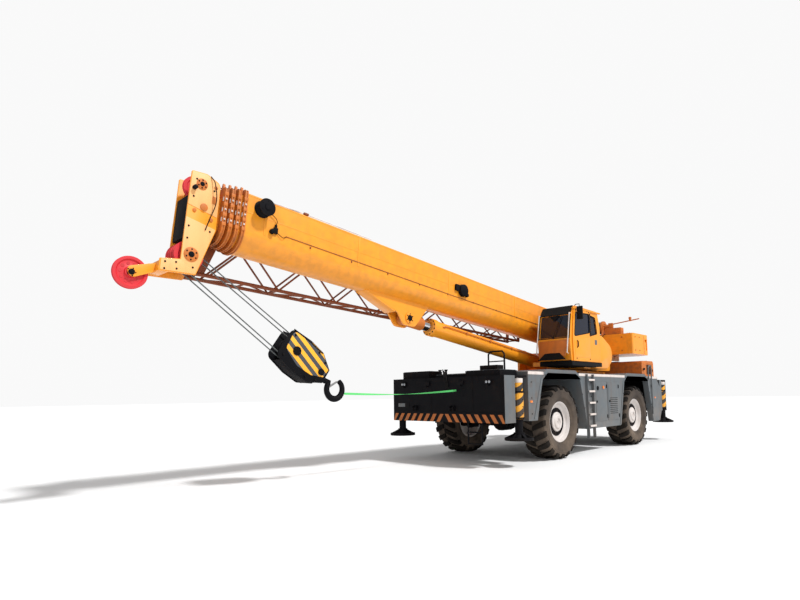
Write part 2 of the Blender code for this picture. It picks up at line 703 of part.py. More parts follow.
def turret(swing):
    """The turret frame with its cheeks, cab support, tail beams and the piece that carries pins."""
    cheek = rounded((
        (-2.25, TURRET_BOTTOM, 0), (CYLINDER_PIN_X + 0.50, TURRET_BOTTOM, 0),
        (CYLINDER_PIN_X + 0.42, CYLINDER_PIN_Z + 0.24, 0.12), (CYLINDER_PIN_X - 0.25, CYLINDER_PIN_Z + 0.34, 0),
        (-1.25, 3.02, 0.2), (-1.80, 3.66, 0.2), (-2.58, 3.66, 0.3), (-2.66, 2.98, 0.3),
    ))
    solids = [box((-2.30, 1.10), (-0.75, 0.75), (TURRET_BOTTOM, TURRET_DECK_TOP))]
    solids.append(rod((0, 0, TURRET_BOTTOM), (0, 0, TURRET_DECK_TOP), 0.90, 24))
    for y in side_pair(CHEEK_Y):
        solids.append(plate(cheek, "y", y))
        beam_y = sorted((math.copysign(0.41, y[0]), math.copysign(CHEEK_Y[1], y[0])))
        solids.append(box((-4.05, -2.52), beam_y, TAIL_BEAM_Z))
        inner = math.copysign(CHEEK_Y[0] + 0.01, y[0])
        boss_y = sorted((math.copysign(BARREL_EYE_HALF_WIDTH + SEAT, y[0]), inner))
        solids.append(cross_rod(CYLINDER_PIN_X, CYLINDER_PIN_Z, boss_y, 0.15))
        outer = sorted((math.copysign(CHEEK_Y[1] - 0.01, y[0]), math.copysign(CHEEK_Y[1] + 0.03, y[0])))
        solids.append(cross_rod(FOOT_PIN_X, FOOT_PIN_Z, outer, 0.20))
        solids.append(cross_rod(CYLINDER_PIN_X, CYLINDER_PIN_Z, outer, 0.13))
    solids.append(cross_rod(CYLINDER_PIN_X, CYLINDER_PIN_Z, (-0.3, 0.3), 0.08))
    solids.append(box((-0.05, 1.72), (CHEEK_Y[0] + 0.02, 1.70), CAB_SUPPORT_Z))
    solids.append(box((-0.05, 0.35), (CHEEK_Y[0] + 0.02, 1.35), (2.36, 2.42)))
    locker = rounded(((-2.30, 2.36, 0.10), (-0.25, 2.36, 0), (-0.25, 2.95, 0.06), (-2.30, 2.95, 0.25)))
    solids.append(plate(locker, "y", (-1.30, 0.02 - CHEEK_Y[1])))
    locker = rounded(((-2.30, 2.36, 0.10), (-0.75, 2.36, 0), (-0.75, 2.80, 0.06), (-2.30, 2.80, 0.25)))
    solids.append(plate(locker, "y", (CHEEK_Y[1] - 0.02, 0.95)))
    solids.append(box((-2.50, -2.44), (-CHEEK_Y[0] - 0.02, CHEEK_Y[0] + 0.02), (2.40, 2.70)))
    fused("turret_frame", YELLOW, swing, solids)

    x0, x1 = COUNTERWEIGHT_X
    y1 = COUNTERWEIGHT_HALF_WIDTH
    plan = rounded(((x1, -y1, 0.05), (x1, y1, 0.05), (x0, y1, 0.36), (x0, -y1, 0.36)), 4)
    slots = [box((-3.98, -3.87), y, (3.08, 3.46)) for y in side_pair((y1 - 0.07, y1 + 0.05))]
    slots += [box((-3.98, -3.78), y, (3.36, 3.46)) for y in side_pair((y1 - 0.07, y1 + 0.05))]
    fused("counterweight", YELLOW, swing, [plate(plan, "z", COUNTERWEIGHT_Z)], slots)

    base = COUNTERWEIGHT_Z[1] + SEAT
    solids = [box((WINCH_X - 0.32, WINCH_X + 0.38), (-0.46, 0.46), (base, base + 0.04))]
    wall = rounded(((WINCH_X - 0.30, base, 0), (WINCH_X + 0.30, base, 0), (WINCH_X + 0.12, WINCH_Z + 0.14, 0.1),
                    (WINCH_X - 0.12, WINCH_Z + 0.14, 0.1)))
    for y in side_pair((0.38, 0.42)):
        solids.append(plate(wall, "y", y))
    drum = ((0.0, 0.39), (0.24, 0.39), (0.24, 0.33), (0.17, 0.33), (0.17, -0.33), (0.24, -0.33), (0.24, -0.39),
            (0.0, -0.39))
    solids.append(turned(drum, (WINCH_X, 0, WINCH_Z), (0, 1, 0), 18))
    solids.append(cross_rod(WINCH_X, WINCH_Z, (0.40, 0.62), 0.11, 12))
    solids.append(box((-3.05, -2.80), (0.60, 1.15), (base, base + 0.22)))
    solids.append(box((-3.10, -2.95), (0.44, 0.62), (base, base + 0.035)))
    solids.append(box((-2.92, -2.84), (0.72, 0.86), (base + 0.2, 4.02)))
    solids.append(tube(((-2.9, 0.80, 3.98), (-2.9, 1.75, 4.08)), 0.018))
    solids.append(rod((-2.9, 1.45, 4.03), (-2.9, 1.45, 4.12), 0.04, 8))
    fused("winch_main", YELLOW, swing, solids)


def offset_outline(corners, inset):
    """The cab's outline drawn in by a wall."""
    middle = Vector((0.85, 3.25))
    scaled = []
    for index, (x, z, radius) in enumerate(corners):
        here = Vector((x, z))
        before = (Vector(corners[index - 1][:2]) - here).normalized()
        after = (Vector(corners[(index + 1) % len(corners)][:2]) - here).normalized()
        inward = (before + after).normalized()
        if inward.dot(middle - here) < 0:
            inward = -inward
        reach = inset / math.sin(before.angle(after) / 2)
        moved = here + inward * reach
        scaled.append((moved.x, moved.y, max(radius - inset, 0.0)))
    return scaled


def cab(swing):
    """The hollow cab with its sliding door, glass, seat and console."""
    y0, y1 = CAB_Y
    shell = plate(rounded(CAB_OUTLINE), "y", CAB_Y)
    inside = plate(rounded(offset_outline(CAB_OUTLINE, CAB_WALL)), "y", (y0 + CAB_WALL, y1 - CAB_WALL))
    lower = Vector((1.80, 3.12))
    upper = Vector((1.68, 3.78))
    slope = (upper - lower).normalized()
    normal = Vector((slope.y, -slope.x))

    def on_front(along, out):
        """A point of the windshield's plane, along it and out of it."""
        place = lower + slope * along + normal * out
        return (place.x, place.y)

    def front_slab(along, out, y):
        """A block lying in the windshield's plane."""
        corners = [on_front(along[0], out[0]), on_front(along[1], out[0]), on_front(along[1], out[1]),
                   on_front(along[0], out[1])]
        return plate(corners, "y", y)

    pane = (0.04, 0.66)
    pane_y = (y0 + 0.07, y1 - 0.07)
    front_hole = front_slab(pane, (-0.2, 0.2), pane_y)
    roof_hole = plate(rounded(((0.45, 0.86, 0.04), (1.30, 0.86, 0.04), (1.30, 1.54, 0.04), (0.45, 1.54, 0.04))),
                      "z", (3.9, 4.1))
    door_hole = plate(rounded(((DOOR_X[0] + 0.06, 2.60, 0.05), (DOOR_X[1] - 0.06, 2.60, 0.05),
                               (DOOR_X[1] - 0.02, 3.15, 0), (DOOR_X[1] - 0.12, 3.84, 0.05),
                               (DOOR_X[0] + 0.06, 3.84, 0.05))), "y", (y1 - 0.1, y1 + 0.1))
    quarter = rounded(((0.16, 3.34, 0.04), (0.56, 3.26, 0.04), (0.56, 3.84, 0.04), (0.26, 3.80, 0.06)))
    quarter_hole = plate(quarter, "y", (y1 - 0.1, y1 + 0.1))
    right = rounded(((0.25, 3.20, 0.05), (1.60, 3.20, 0.05), (1.48, 3.84, 0.05), (0.32, 3.84, 0.05)))
    right_hole = plate(right, "y", (y0 - 0.1, y0 + 0.1))
    rear = rounded(((0.85, 3.10, 0.05), (1.55, 3.10, 0.05), (1.55, 3.50, 0.05), (0.85, 3.50, 0.05)))
    rear_hole = plate(rear, "x", (-0.2, 0.05))
    rails = [box((-0.05, 1.68), (y1 - 0.01, y1 + DOOR_THICK + RUNNING_GAP), DOOR_RAIL_Z),
             box((-0.02, 1.62), (y1 - 0.01, y1 + DOOR_THICK + RUNNING_GAP), (3.93, 3.965))]
    handles = []
    for y in (y0 + 0.03, y1 - 0.03):
        grab = [(*on_front(-0.42, -0.03), y), (*on_front(-0.42, 0.05), y), (*on_front(0.70, 0.05), y),
                (*on_front(0.70, -0.03), y)]
        handles.append(tube([(x, y, z) for x, z, y in grab], 0.014))
    beads = [box((0.14, 0.58), (y1 - CAB_WALL, y1 - CAB_WALL + 0.012), (3.24, 3.26))]
    fused("cab_shell", YELLOW, swing, [shell, *rails, *handles, *beads],
          [inside, front_hole, roof_hole, door_hole, quarter_hole, right_hole, rear_hole])

    gap = SEAT * 2
    # panes stand in their openings with their edges just clear of the frame
    pane_inner = (pane[0] + gap, pane[1] - gap)
    solids = [front_slab(pane_inner, (-0.03, -0.03 + GLASS_THICK), (pane_y[0] + gap, pane_y[1] - gap))]
    fused("windshield", GLASS, swing, solids)
    solids = [plate(rounded(inset_outline(right, gap)), "y", (y0 + 0.015, y0 + 0.015 + GLASS_THICK))]
    fused("window_right", GLASS, swing, solids)
    solids = [plate(rounded(inset_outline(quarter, gap)), "y", (y1 - 0.03, y1 - 0.03 + GLASS_THICK))]
    fused("window_quarter", GLASS, swing, solids)
    solids = [plate(rounded(inset_outline(rear, gap)), "x", (-0.025, -0.025 + GLASS_THICK))]
    fused("window_rear", GLASS, swing, solids)

    floor = 2.518 + CAB_WALL + SEAT
    solids = [box((0.55, 0.95), (1.02, 1.38), (floor, 2.78)), box((0.50, 1.05), (0.95, 1.45), (2.77, 2.93))]
    solids.append(plate(rounded(((0.42, 2.85, 0.04), (0.60, 2.85, 0.04), (0.46, 3.62, 0.05), (0.32, 3.62, 0.05))),
                        "y", (0.96, 1.44)))
    fused("operator_seat", TRIM, swing, solids)
    solids = [box((1.30, 1.52), (0.98, 1.42), (floor, 2.95)), box((1.22, 1.50), (0.90, 1.50), (2.94, 3.10))]
    fused("console", TRIM, swing, solids)

    slide = carrier("door_slide", swing, (0, 0, 0))
    panel = rounded(((DOOR_X[0], DOOR_RAIL_Z[1] + SEAT, 0.02), (DOOR_X[1], DOOR_RAIL_Z[1] + SEAT, 0.02),
                     (DOOR_X[1] + 0.02, 3.12, 0), (DOOR_X[1] - 0.08, 3.92, 0.05), (DOOR_X[0], 3.92, 0.04)))
    opening = ((0.70, 3.33, 0.05), (1.60, 3.18, 0.05), (1.50, 3.84, 0.05), (0.70, 3.86, 0.05))
    door_y = (y1 + RUNNING_GAP / 1.1, y1 + DOOR_THICK)
    solids = [plate(panel, "y", door_y, [rounded(opening)])]
    solids.append(tube(((1.46, door_y[1] - 0.005, 3.06), (1.46, door_y[1] + 0.03, 3.03),
                        (1.46, door_y[1] + 0.03, 2.92), (1.46, door_y[1] - 0.005, 2.89)), 0.014))
    fused("cab_door", YELLOW, slide, solids)
    solids = [plate(rounded(inset_outline(rounded(opening), gap)), "y", (door_y[0] + 0.006, door_y[0] + 0.006 + GLASS_THICK))]
    fused("door_glass", GLASS, slide, solids)


def inset_outline(outline, gap):
    """A convex outline drawn in by a gap, ready for rounded()."""
    middle = Vector((sum(u for u, _ in outline) / len(outline), sum(v for _, v in outline) / len(outline)))
    moved = []
    for u, v in outline:
        here = Vector((u, v))
        here += (middle - here).normalized() * gap
        moved.append((here.x, here.y, 0))
    return moved


def boom_outline(shrink, grow=0.0):
    """The box section with a rounded belly, drawn in or out."""
    half = BOOM_HALF_WIDTH - shrink + grow
    top = BOOM_TOP - shrink + grow
    bottom = BOOM_BOTTOM + shrink - grow
    belly = half * 0.86
    lower = rounded(((-half, top, 0.05), (half, top, 0.05), (half, bottom, belly), (-half, bottom, belly)), 3)
    return lower


def boom_tube(index, x):
    """The hollow tube of one section."""
    shrink = index * SECTION_STEP
    return plate(boom_outline(shrink), "x", x, [boom_outline(shrink + SECTION_WALL)])


def collar(index):
    """The ring at a section's mouth, which guides the next one, with two upright ears."""
    start = COLLAR_START + index * COLLAR_PITCH
    x = (start, start + COLLAR_WIDTH)
    mouth = boom_outline((index + 1) * SECTION_STEP, SLIDE_GAP)
    solids = [plate(boom_outline(index * COLLAR_STEP, COLLAR_RISE), "x", x, [mouth])]
    top = BOOM_TOP + COLLAR_RISE - index * COLLAR_STEP
    for y in side_pair((0.17, 0.21)):
        solids.append(box((x[0] + 0.006, x[1] - 0.006), y, (top - 0.01, top + 0.10)))
    return solids


def boom(swing):
    """The five sections, the head with its sheaves, and the stowed jib."""
    luff = carrier("luff", swing, (FOOT_PIN_X, 0, FOOT_PIN_Z), (0, -BOOM_ELEVATION, 0))
    solids = [boom_tube(0, (BOOM_REAR, COLLAR_START + COLLAR_WIDTH / 2)), *collar(0)]
    for y in side_pair((BOOM_HALF_WIDTH - 0.008, CHEEK_Y[0] - SEAT)):
        solids.append(cross_rod(0, 0, y, FOOT_BOSS_RADIUS))
    ear = rounded(((7.85, -0.40, 0), (8.30, -0.98, 0.14), (8.66, -0.99, 0.16), (8.86, -0.74, 0.1), (9.86, -0.40, 0)))
    for y in side_pair(EAR_Y):
        solids.append(plate(ear, "y", y))
    web = ((8.92, -0.66), (9.80, -0.40), (9.80, -0.46), (8.94, -0.75))
    solids.append(plate(web, "y", (-EAR_Y[1] + 0.005, EAR_Y[1] - 0.005)))
    inner = JIB_PLANES[0] + JIB_CHORD / 2 + SEAT
    for x in BRACKET_X:
        solids.append(box((x - 0.06, x + 0.06), (inner, 0.01 - BOOM_HALF_WIDTH), (JIB_TOP - 0.05, JIB_TOP + 0.05)))
    solids.append(cross_rod(12.41, 0.335, (BOOM_HALF_WIDTH - 0.009, BOOM_HALF_WIDTH + 0.20), 0.148, 16))
    solids.append(cross_rod(6.94, 0.17, (BOOM_HALF_WIDTH - 0.008, BOOM_HALF_WIDTH + 0.12), 0.12, 14))
    for x in (1.4, 5.2, 9.0):
        solids.append(box((x - 0.05, x + 0.05), (-0.10, 0.10), (BOOM_TOP - 0.008, BOOM_TOP + 0.06)))
    bevelled = ((BOOM_REAR - 0.1, BOOM_TOP + 0.1), (BOOM_REAR - 0.1, 0.15), (BOOM_REAR, 0.15), (0.12, BOOM_TOP + 0.01),
                (0.12, BOOM_TOP + 0.1))
    low_bevel = ((BOOM_REAR - 0.1, BOOM_BOTTOM - 0.1), (0.0, BOOM_BOTTOM - 0.01), (BOOM_REAR, -0.25),
                 (BOOM_REAR - 0.1, -0.25))
    hollow = plate(boom_outline(SECTION_WALL), "x", (BOOM_REAR - 0.1, COLLAR_START - 0.1))
    cuts = [plate(bevelled, "y", (-0.5, 0.5)), plate(low_bevel, "y", (-0.5, 0.5)), hollow]
    fused("boom_base", YELLOW, luff, solids, cuts)

    parent = luff
    for index in range(1, SECTION_COUNT):
        parent = carrier(f"telescope_{index + 1}", parent, (0, 0, 0))
        rear = 0.20 + 0.06 * index
        if index < SECTION_COUNT - 1:
            end = COLLAR_START + index * COLLAR_PITCH + COLLAR_WIDTH / 2
            solids = [boom_tube(index, (rear, end)), *collar(index)]
        else:
            solids = [boom_tube(index, (rear, HEAD_BACK - SEAT))]
        fused(f"boom_section_{index + 1}", YELLOW, parent, solids)
    boom_head(parent)
    jib(luff)
    lift_cylinder(swing)
    hook_block(parent)


def sheave_pack(grooves, groove, flange, half_length, hub):
    """The turned profile of sheaves side by side on one hub, from the left end to the right."""
    half = ROPE_RADIUS + GROOVE_GAP
    profile = [(0.0, half_length), (hub, half_length), (hub, grooves[0] + SHEAVE_SIDE), (flange, grooves[0] + SHEAVE_SIDE)]
    for place in grooves:
        profile += [(flange, place + half), (groove, place + half), (groove, place - half), (flange, place - half)]
    end = grooves[-1] - SHEAVE_SIDE
    profile += [(flange, end), (hub, end), (hub, -half_length), (0.0, -half_length)]
    return profile


def boom_head(parent):
    """Head plates, sheave packs and the nose sheave in its fork."""
    outline = rounded((
        (HEAD_REAR, 0.55, 0.10), (HEAD_REAR + 0.24, 0.645, 0.06), (13.61, 0.618, 0.03), (13.62, -0.86, 0),
        (13.92, -0.92, 0.02), (13.92, -1.12, 0.03), (13.36, -1.06, 0.03), (HEAD_REAR, -0.25, 0),
    ))
    solids = [box((HEAD_BACK, HEAD_REAR + 0.025), (-HEAD_PLATE_Y[0] - 0.01, HEAD_PLATE_Y[0] + 0.01), (-0.24, 0.44))]
    for y in side_pair(HEAD_PLATE_Y):
        solids.append(plate(outline, "y", y))
        boss = sorted(math.copysign(reach, y[0]) for reach in (HEAD_PLATE_Y[0] + 0.005, HEAD_PLATE_Y[1] + 0.02))
        solids.append(cross_rod(*HEAD_SHEAVE, boss, 0.10))
        solids.append(cross_rod(*TOP_SHEAVE, boss, 0.08))
    tie = HEAD_PLATE_Y[0] + 0.01
    for x, z in ((13.18, 0.49), (13.55, 0.05), (13.24, -0.12)):
        solids.append(cross_rod(x, z, (-tie, tie), 0.03, 12))
    solids.append(box((13.76, 13.90), (-tie, tie), (-1.10, -0.94)))
    fork = rounded(((13.86, -1.09, 0), (14.22, -1.28, 0.07), (14.31, -1.12, 0.07), (13.88, -0.96, 0)))
    for y in side_pair((0.045, 0.07)):
        solids.append(plate(fork, "y", y))
    fused("boom_head", YELLOW, parent, solids)
    inner = HEAD_PLATE_Y[0] - SEAT
    pack = sheave_pack(HEAD_GROOVES, SHEAVE_GROOVE, SHEAVE_FLANGE, inner, 0.09)
    fused("head_sheaves", RED, parent, [turned(pack, (HEAD_SHEAVE[0], 0, HEAD_SHEAVE[1]), (0, 1, 0), 24)])
    pack = sheave_pack((0.0,), 0.17, 0.20, inner, 0.06)
    fused("top_sheave", RED, parent, [turned(pack, (TOP_SHEAVE[0], 0, TOP_SHEAVE[1]), (0, 1, 0), 16)])
    half = 0.045 - SEAT
    edge = NOSE_SHEAVE_RADIUS
    nose = ((0.0, half), (0.07, half), (0.09, 0.014), (0.18, 0.014), (0.20, 0.03), (edge, 0.03), (edge - 0.03, 0.006),
            (edge - 0.03, -0.006), (edge, -0.03), (0.20, -0.03), (0.18, -0.014), (0.09, -0.014), (0.07, -half),
            (0.0, -half))
    fused("nose_sheave", RED, parent, [turned(nose, (NOSE_SHEAVE[0], 0, NOSE_SHEAVE[1]), (0, 1, 0), 20)])


def jib(luff):
    """A lattice of four chords laced with rods, lying beside the boom."""
    half = JIB_CHORD / 2
    x0, x1 = JIB_X

    def bottom(x):
        """Height of the bottom chord's line."""
        share = (x - x0) / (x1 - x0)
        return JIB_BOTTOM[0] + (JIB_BOTTOM[1] - JIB_BOTTOM[0]) * share

    solids = []
    tip_x, tip_z = JIB_TIP
    for y in JIB_PLANES:
        span = (y - half, y + half)
        top_chord = ((x0, JIB_TOP - half), (x1, JIB_TOP - half), (tip_x, tip_z - half + 0.04), (tip_x, tip_z + half),
                     (x1 + 0.05, JIB_TOP + half), (x0, JIB_TOP + half))
        low_chord = ((x0, bottom(x0) - half), (x1, bottom(x1) - half), (tip_x, tip_z - half - 0.01),
                     (tip_x, tip_z + half - 0.01), (x1, bottom(x1) + half), (x0, bottom(x0) + half))
        solids.append(plate(top_chord, "y", span))
        solids.append(plate(low_chord, "y", span))
        solids.append(box((x0, x0 + 0.07), span, (bottom(x0), JIB_TOP)))
    step = (x1 - x0 - 0.2) / JIB_BAYS
    y0, y1 = JIB_PLANES
    for bay in range(JIB_BAYS):
        start = x0 + 0.1 + bay * step
        middle = start + step / 2
        for y in JIB_PLANES:
            solids.append(rod((start, y, bottom(start)), (middle, y, JIB_TOP), JIB_LACING_RADIUS, 4))
            solids.append(rod((middle, y, JIB_TOP), (start + step, y, bottom(start + step)), JIB_LACING_RADIUS, 4))
        solids.append(rod((start, y0, bottom(start)), (start, y1, bottom(start)), JIB_LACING_RADIUS, 4))
        solids.append(rod((middle, y0, JIB_TOP), (middle, y1, JIB_TOP), JIB_LACING_RADIUS, 4))
    end = x0 + 0.1 + JIB_BAYS * step
    solids.append(rod((end, y0, bottom(end)), (end, y1, bottom(end)), JIB_LACING_RADIUS, 4))
    solids.append(cross_rod(tip_x - 0.05, tip_z, (y1, y0), 0.03, 8))
    fused("jib_lattice", YELLOW, luff, solids)


def foot_to_world(x, z):
    """A point of the boom's frame, in the turret's frame."""
    cosine = math.cos(BOOM_ELEVATION)
    sine = math.sin(BOOM_ELEVATION)
    return Vector((FOOT_PIN_X + x * cosine - z * sine, FOOT_PIN_Z + x * sine + z * cosine))


def lift_cylinder(swing):
    """Barrel and rod between the turret and the boom's ears."""
    reach = foot_to_world(*ROD_PIN) - Vector((CYLINDER_PIN_X, CYLINDER_PIN_Z))
    angle = math.atan2(reach.y, reach.x)
    base = carrier("lift_barrel_pin", swing, (CYLINDER_PIN_X, 0, CYLINDER_PIN_Z), (0, -angle, 0))
    slide = carrier("lift_rod_slide", base, (0, 0, 0))
    eye = (-BARREL_EYE_HALF_WIDTH, BARREL_EYE_HALF_WIDTH)
    head = BARREL_LENGTH
    solids = [rod((0.20, 0, 0), (head, 0, 0), BARREL_RADIUS, 20), cross_rod(0, 0, eye, 0.17)]
    solids.append(rod((0.02, 0, 0), (0.3, 0, 0), BARREL_EYE_HALF_WIDTH - 0.01, 16))
    solids.append(rod((head - 0.16, 0, 0), (head - 0.002, 0, 0), BARREL_RADIUS + 0.02, 20))
    cuts = [rod((0.45, 0, 0), (head - 0.12, 0, 0), ROD_RADIUS + 0.035, 16)]
    cuts.append(rod((head - 0.2, 0, 0), (head + 0.1, 0, 0), ROD_RADIUS + SLIDE_GAP, 16))
    cuts.append(cross_rod(0, 0, (-0.3, 0.3), 0.088))
    fused("lift_barrel", YELLOW, base, solids, cuts)
    eye = (-ROD_EYE_HALF_WIDTH, ROD_EYE_HALF_WIDTH)
    solids = [rod((0.80, 0, 0), (reach.length - 0.07, 0, 0), ROD_RADIUS, 16)]
    solids.append(cross_rod(reach.length, 0, eye, ROD_EYE_RADIUS))
    fused("lift_rod", STEEL, slide, solids, [cross_rod(reach.length, 0, (-0.3, 0.3), 0.06)])


def arc(centre_z, radius, first, last, step, y):
    """Points of a rope round a sheave, angles in degrees from +X towards +Z."""
    count = round(abs(last - first) / step)
    angles = [math.radians(first + (last - first) * index / count) for index in range(count + 1)]
    return [(radius * math.cos(angle), y, centre_z + radius * math.sin(angle)) for angle in angles]


def hook_block(parent):
    """Rope falls, block and hook, drawn back from the head's lower sheaves."""
    lean = HOOK_SWING + BOOM_ELEVATION
    swing = carrier("hook_swing", parent, (HEAD_SHEAVE[0], 0, HEAD_SHEAVE[1]), (0, lean, 0))
    turn = ROPE_TURN_RADIUS
    straight = 0.13
    first, second = HEAD_GROOVES
    low = BLOCK_SHEAVE_Z + straight
    route = arc(0.0, turn, 45, 0, 22.5, first) + [(turn, first, -straight), (turn, BLOCK_GROOVES[0], low)]
    route += arc(BLOCK_SHEAVE_Z, turn, 0, -180, 22.5, BLOCK_GROOVES[0])
    route += [(-turn, BLOCK_GROOVES[0], low), (-turn, second, -straight)] + arc(0.0, turn, 180, 0, 22.5, second)
    route += [(turn, second, -straight), (turn, BLOCK_GROOVES[1], low)]
    route += arc(BLOCK_SHEAVE_Z, turn, 0, -180, 22.5, BLOCK_GROOVES[1])
    route += [(-turn, BLOCK_GROOVES[1], low), (-turn, DEAD_END_Y, -straight)]
    fused("hoist_rope", CABLE, swing, [tube(route, ROPE_RADIUS)])
    top = BLOCK_SHEAVE_Z + 0.30
    cheek = rounded(((-0.30, top, 0.12), (0.30, top, 0.12), (0.36, -2.60, 0.2), (0.34, -2.95, 0.1),
                     (0.15, BLOCK_BOTTOM, 0.02), (-0.15, BLOCK_BOTTOM, 0.02), (-0.34, -2.95, 0.1),
                     (-0.36, -2.60, 0.2)))
    solids = [plate(cheek, "y", y) for y in side_pair(BLOCK_CHEEK_Y)]
    pack = sheave_pack(BLOCK_GROOVES, SHEAVE_GROOVE, SHEAVE_FLANGE, BLOCK_CHEEK_Y[0] + 0.01, 0.06)
    solids.append(turned(pack, (0, 0, BLOCK_SHEAVE_Z), (0, 1, 0), 16))
    tie = BLOCK_CHEEK_Y[0] + 0.01
    solids.append(box((-0.13, 0.13), (-tie, tie), (CROSSHEAD_BOTTOM, BLOCK_BOTTOM + 0.20)))
    for x in (-0.28, 0.28):
        solids.append(cross_rod(x, -2.86, (-tie, tie), 0.025, 8))
    fused("hook_block", YELLOW, swing, solids)
    centre = BLOCK_BOTTOM - 0.22 - HOOK_BOWL_RADIUS
    route = [(0.0, 0.0, CROSSHEAD_BOTTOM - SEAT), (0.0, 0.0, BLOCK_BOTTOM - 0.12)]
    sizes = [1.0, 1.0]
    steps = 10
    for index in range(steps + 1):
        angle = math.radians(100 - 280 * index / steps)
        route.append((HOOK_BOWL_RADIUS * math.cos(angle), 0.0, centre + HOOK_BOWL_RADIUS * math.sin(angle)))
        sizes.append(1.15 - 0.5 * abs(index / steps - 0.45))
    fused("hook", BLACK, swing, [tube(route, HOOK_THICK, sizes)])


def main():
    """Build the crane."""
    root = carrier("root", None, (ROOT_SHIFT_X, ROOT_SHIFT_Y, 0.0))
    wheels_and_axles(root)
    chassis(root)
    outriggers(root)
    swing = carrier("slew", root, (0, 0, 0))
    turret(swing)
    cab(swing)
    boom(swing)


main()
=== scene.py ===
"""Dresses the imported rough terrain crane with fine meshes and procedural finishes, in a pale studio."""

from __future__ import annotations

import json
import logging
import math
from collections.abc import Callable, Iterable, Sequence
from dataclasses import dataclass
from enum import Enum

import bmesh
import bpy
from mathutils import Matrix, Vector

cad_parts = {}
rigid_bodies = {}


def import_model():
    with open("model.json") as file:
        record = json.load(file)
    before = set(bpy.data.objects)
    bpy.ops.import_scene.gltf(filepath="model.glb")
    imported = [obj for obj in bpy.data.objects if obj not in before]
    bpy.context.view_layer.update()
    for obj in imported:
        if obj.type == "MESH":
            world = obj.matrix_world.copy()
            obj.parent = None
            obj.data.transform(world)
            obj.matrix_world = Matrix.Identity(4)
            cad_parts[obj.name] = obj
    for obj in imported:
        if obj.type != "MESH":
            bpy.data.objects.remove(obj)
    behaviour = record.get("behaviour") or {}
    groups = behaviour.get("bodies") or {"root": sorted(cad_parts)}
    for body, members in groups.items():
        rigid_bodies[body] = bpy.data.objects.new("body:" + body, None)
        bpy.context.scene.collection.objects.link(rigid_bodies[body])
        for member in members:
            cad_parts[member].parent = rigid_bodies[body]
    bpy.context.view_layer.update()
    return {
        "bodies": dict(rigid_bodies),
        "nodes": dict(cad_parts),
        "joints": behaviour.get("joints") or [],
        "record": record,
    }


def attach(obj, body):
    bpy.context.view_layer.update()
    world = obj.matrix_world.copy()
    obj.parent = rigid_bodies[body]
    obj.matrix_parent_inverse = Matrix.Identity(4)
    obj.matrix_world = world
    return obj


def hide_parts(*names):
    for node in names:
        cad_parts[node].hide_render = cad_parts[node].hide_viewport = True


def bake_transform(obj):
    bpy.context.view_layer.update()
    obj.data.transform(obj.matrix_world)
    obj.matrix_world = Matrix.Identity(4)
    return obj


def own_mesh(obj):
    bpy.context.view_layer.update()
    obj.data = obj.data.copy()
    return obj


LOG = logging.getLogger("crane")

Point = tuple[float, float, float]
Pair = tuple[float, float]
Span = tuple[float, float]

# Where the slewing axis stands along the crane's box, and pins as (x, z) in the frame that carries them
SHIFT_X = -3.6166
BOOM_FOOT: Pair = (-2.20, 3.40)
LIFT_FOOT: Pair = (0.45, 2.57)
HEAD_PIN: Pair = (13.47, -0.75)
WINCH: Pair = (-3.25, 3.93)
EAR_PIN: Pair = (8.50, -0.81)
JIB_HANGERS = (3.9, 10.4)
HEAD_REAR = 13.12
FRONT_AXLE = 2.50
REAR_AXLE = -2.264
BOX_BOLTS = 17
BOX_BOLT_PITCH = 0.21

# How the boom, the hook's falls and the lift cylinder lean at rest
ELEVATION = math.radians(5.3)
HOOK_DRAWN_BACK = math.radians(60.1)
LIFT_LEAN = math.radians(7.819)


def frame_at(parent: Matrix, pin: Pair, lean: float) -> Matrix:
    """A frame on a pin, turned about it.

    Args:
        parent: The frame that the pin stands in.
        pin: The pin's place, (x, z).
        lean: The turn about Y, in radians.

    Returns:
        The frame as it stands at rest.
    """
    return parent @ Matrix.Translation((pin[0], 0.0, pin[1])) @ Matrix.Rotation(lean, 4, "Y")


ROOT = Matrix.Translation((SHIFT_X, 0.0, 0.0))
BOOM = frame_at(ROOT, BOOM_FOOT, -ELEVATION)
HOOK = frame_at(BOOM, HEAD_PIN, HOOK_DRAWN_BACK)
LIFT = frame_at(ROOT, LIFT_FOOT, -LIFT_LEAN)


def shade(red: int, green: int, blue: int) -> Point:
    """A linear colour from the values of a screen colour.

    Args:
        red: Red from 0 to 255.
        green: Green from 0 to 255.
        blue: Blue from 0 to 255.

    Returns:
        The linear red, green and blue.
    """
    values = (value / 255 for value in (red, green, blue))
    linear = (v / 12.92 if v <= 0.04045 else ((v + 0.055) / 1.055) ** 2.4 for v in values)
    return tuple(linear)


@dataclass(frozen=True)
class Finish:
    """One finish of the crane and how the years have treated it.

    Attributes:
        colour: The linear colour.
        roughness: The surface's roughness.
        metallic: 1 for bare metal.
        wear: How dark the rubbed edges are.
        dust: How much road dust lies on it.
        streaks: How dark the rain has run down it.
        grain: The scale of its fine unevenness.
        depth: How strong that unevenness is.
        coat: The clear coat's weight.
        stripe: The second colour, where it has warning stripes.
        across: The way across the stripes, its length in stripes per metre.
        clear: How much light passes through.
        shine: How strong its reflection is.
        slot: The record's slot that the finish belongs to.
    """

    colour: Point
    roughness: float = 0.45
    metallic: float = 0.0
    wear: float = 0.0
    dust: float = 0.0
    streaks: float = 0.0
    grain: float = 60.0
    depth: float = 0.05
    coat: float = 0.0
    stripe: Point | None = None
    across: Point = (0.0, 0.0, 0.0)
    clear: float = 0.0
    shine: float = 0.5
    slot: str = "crane_yellow"


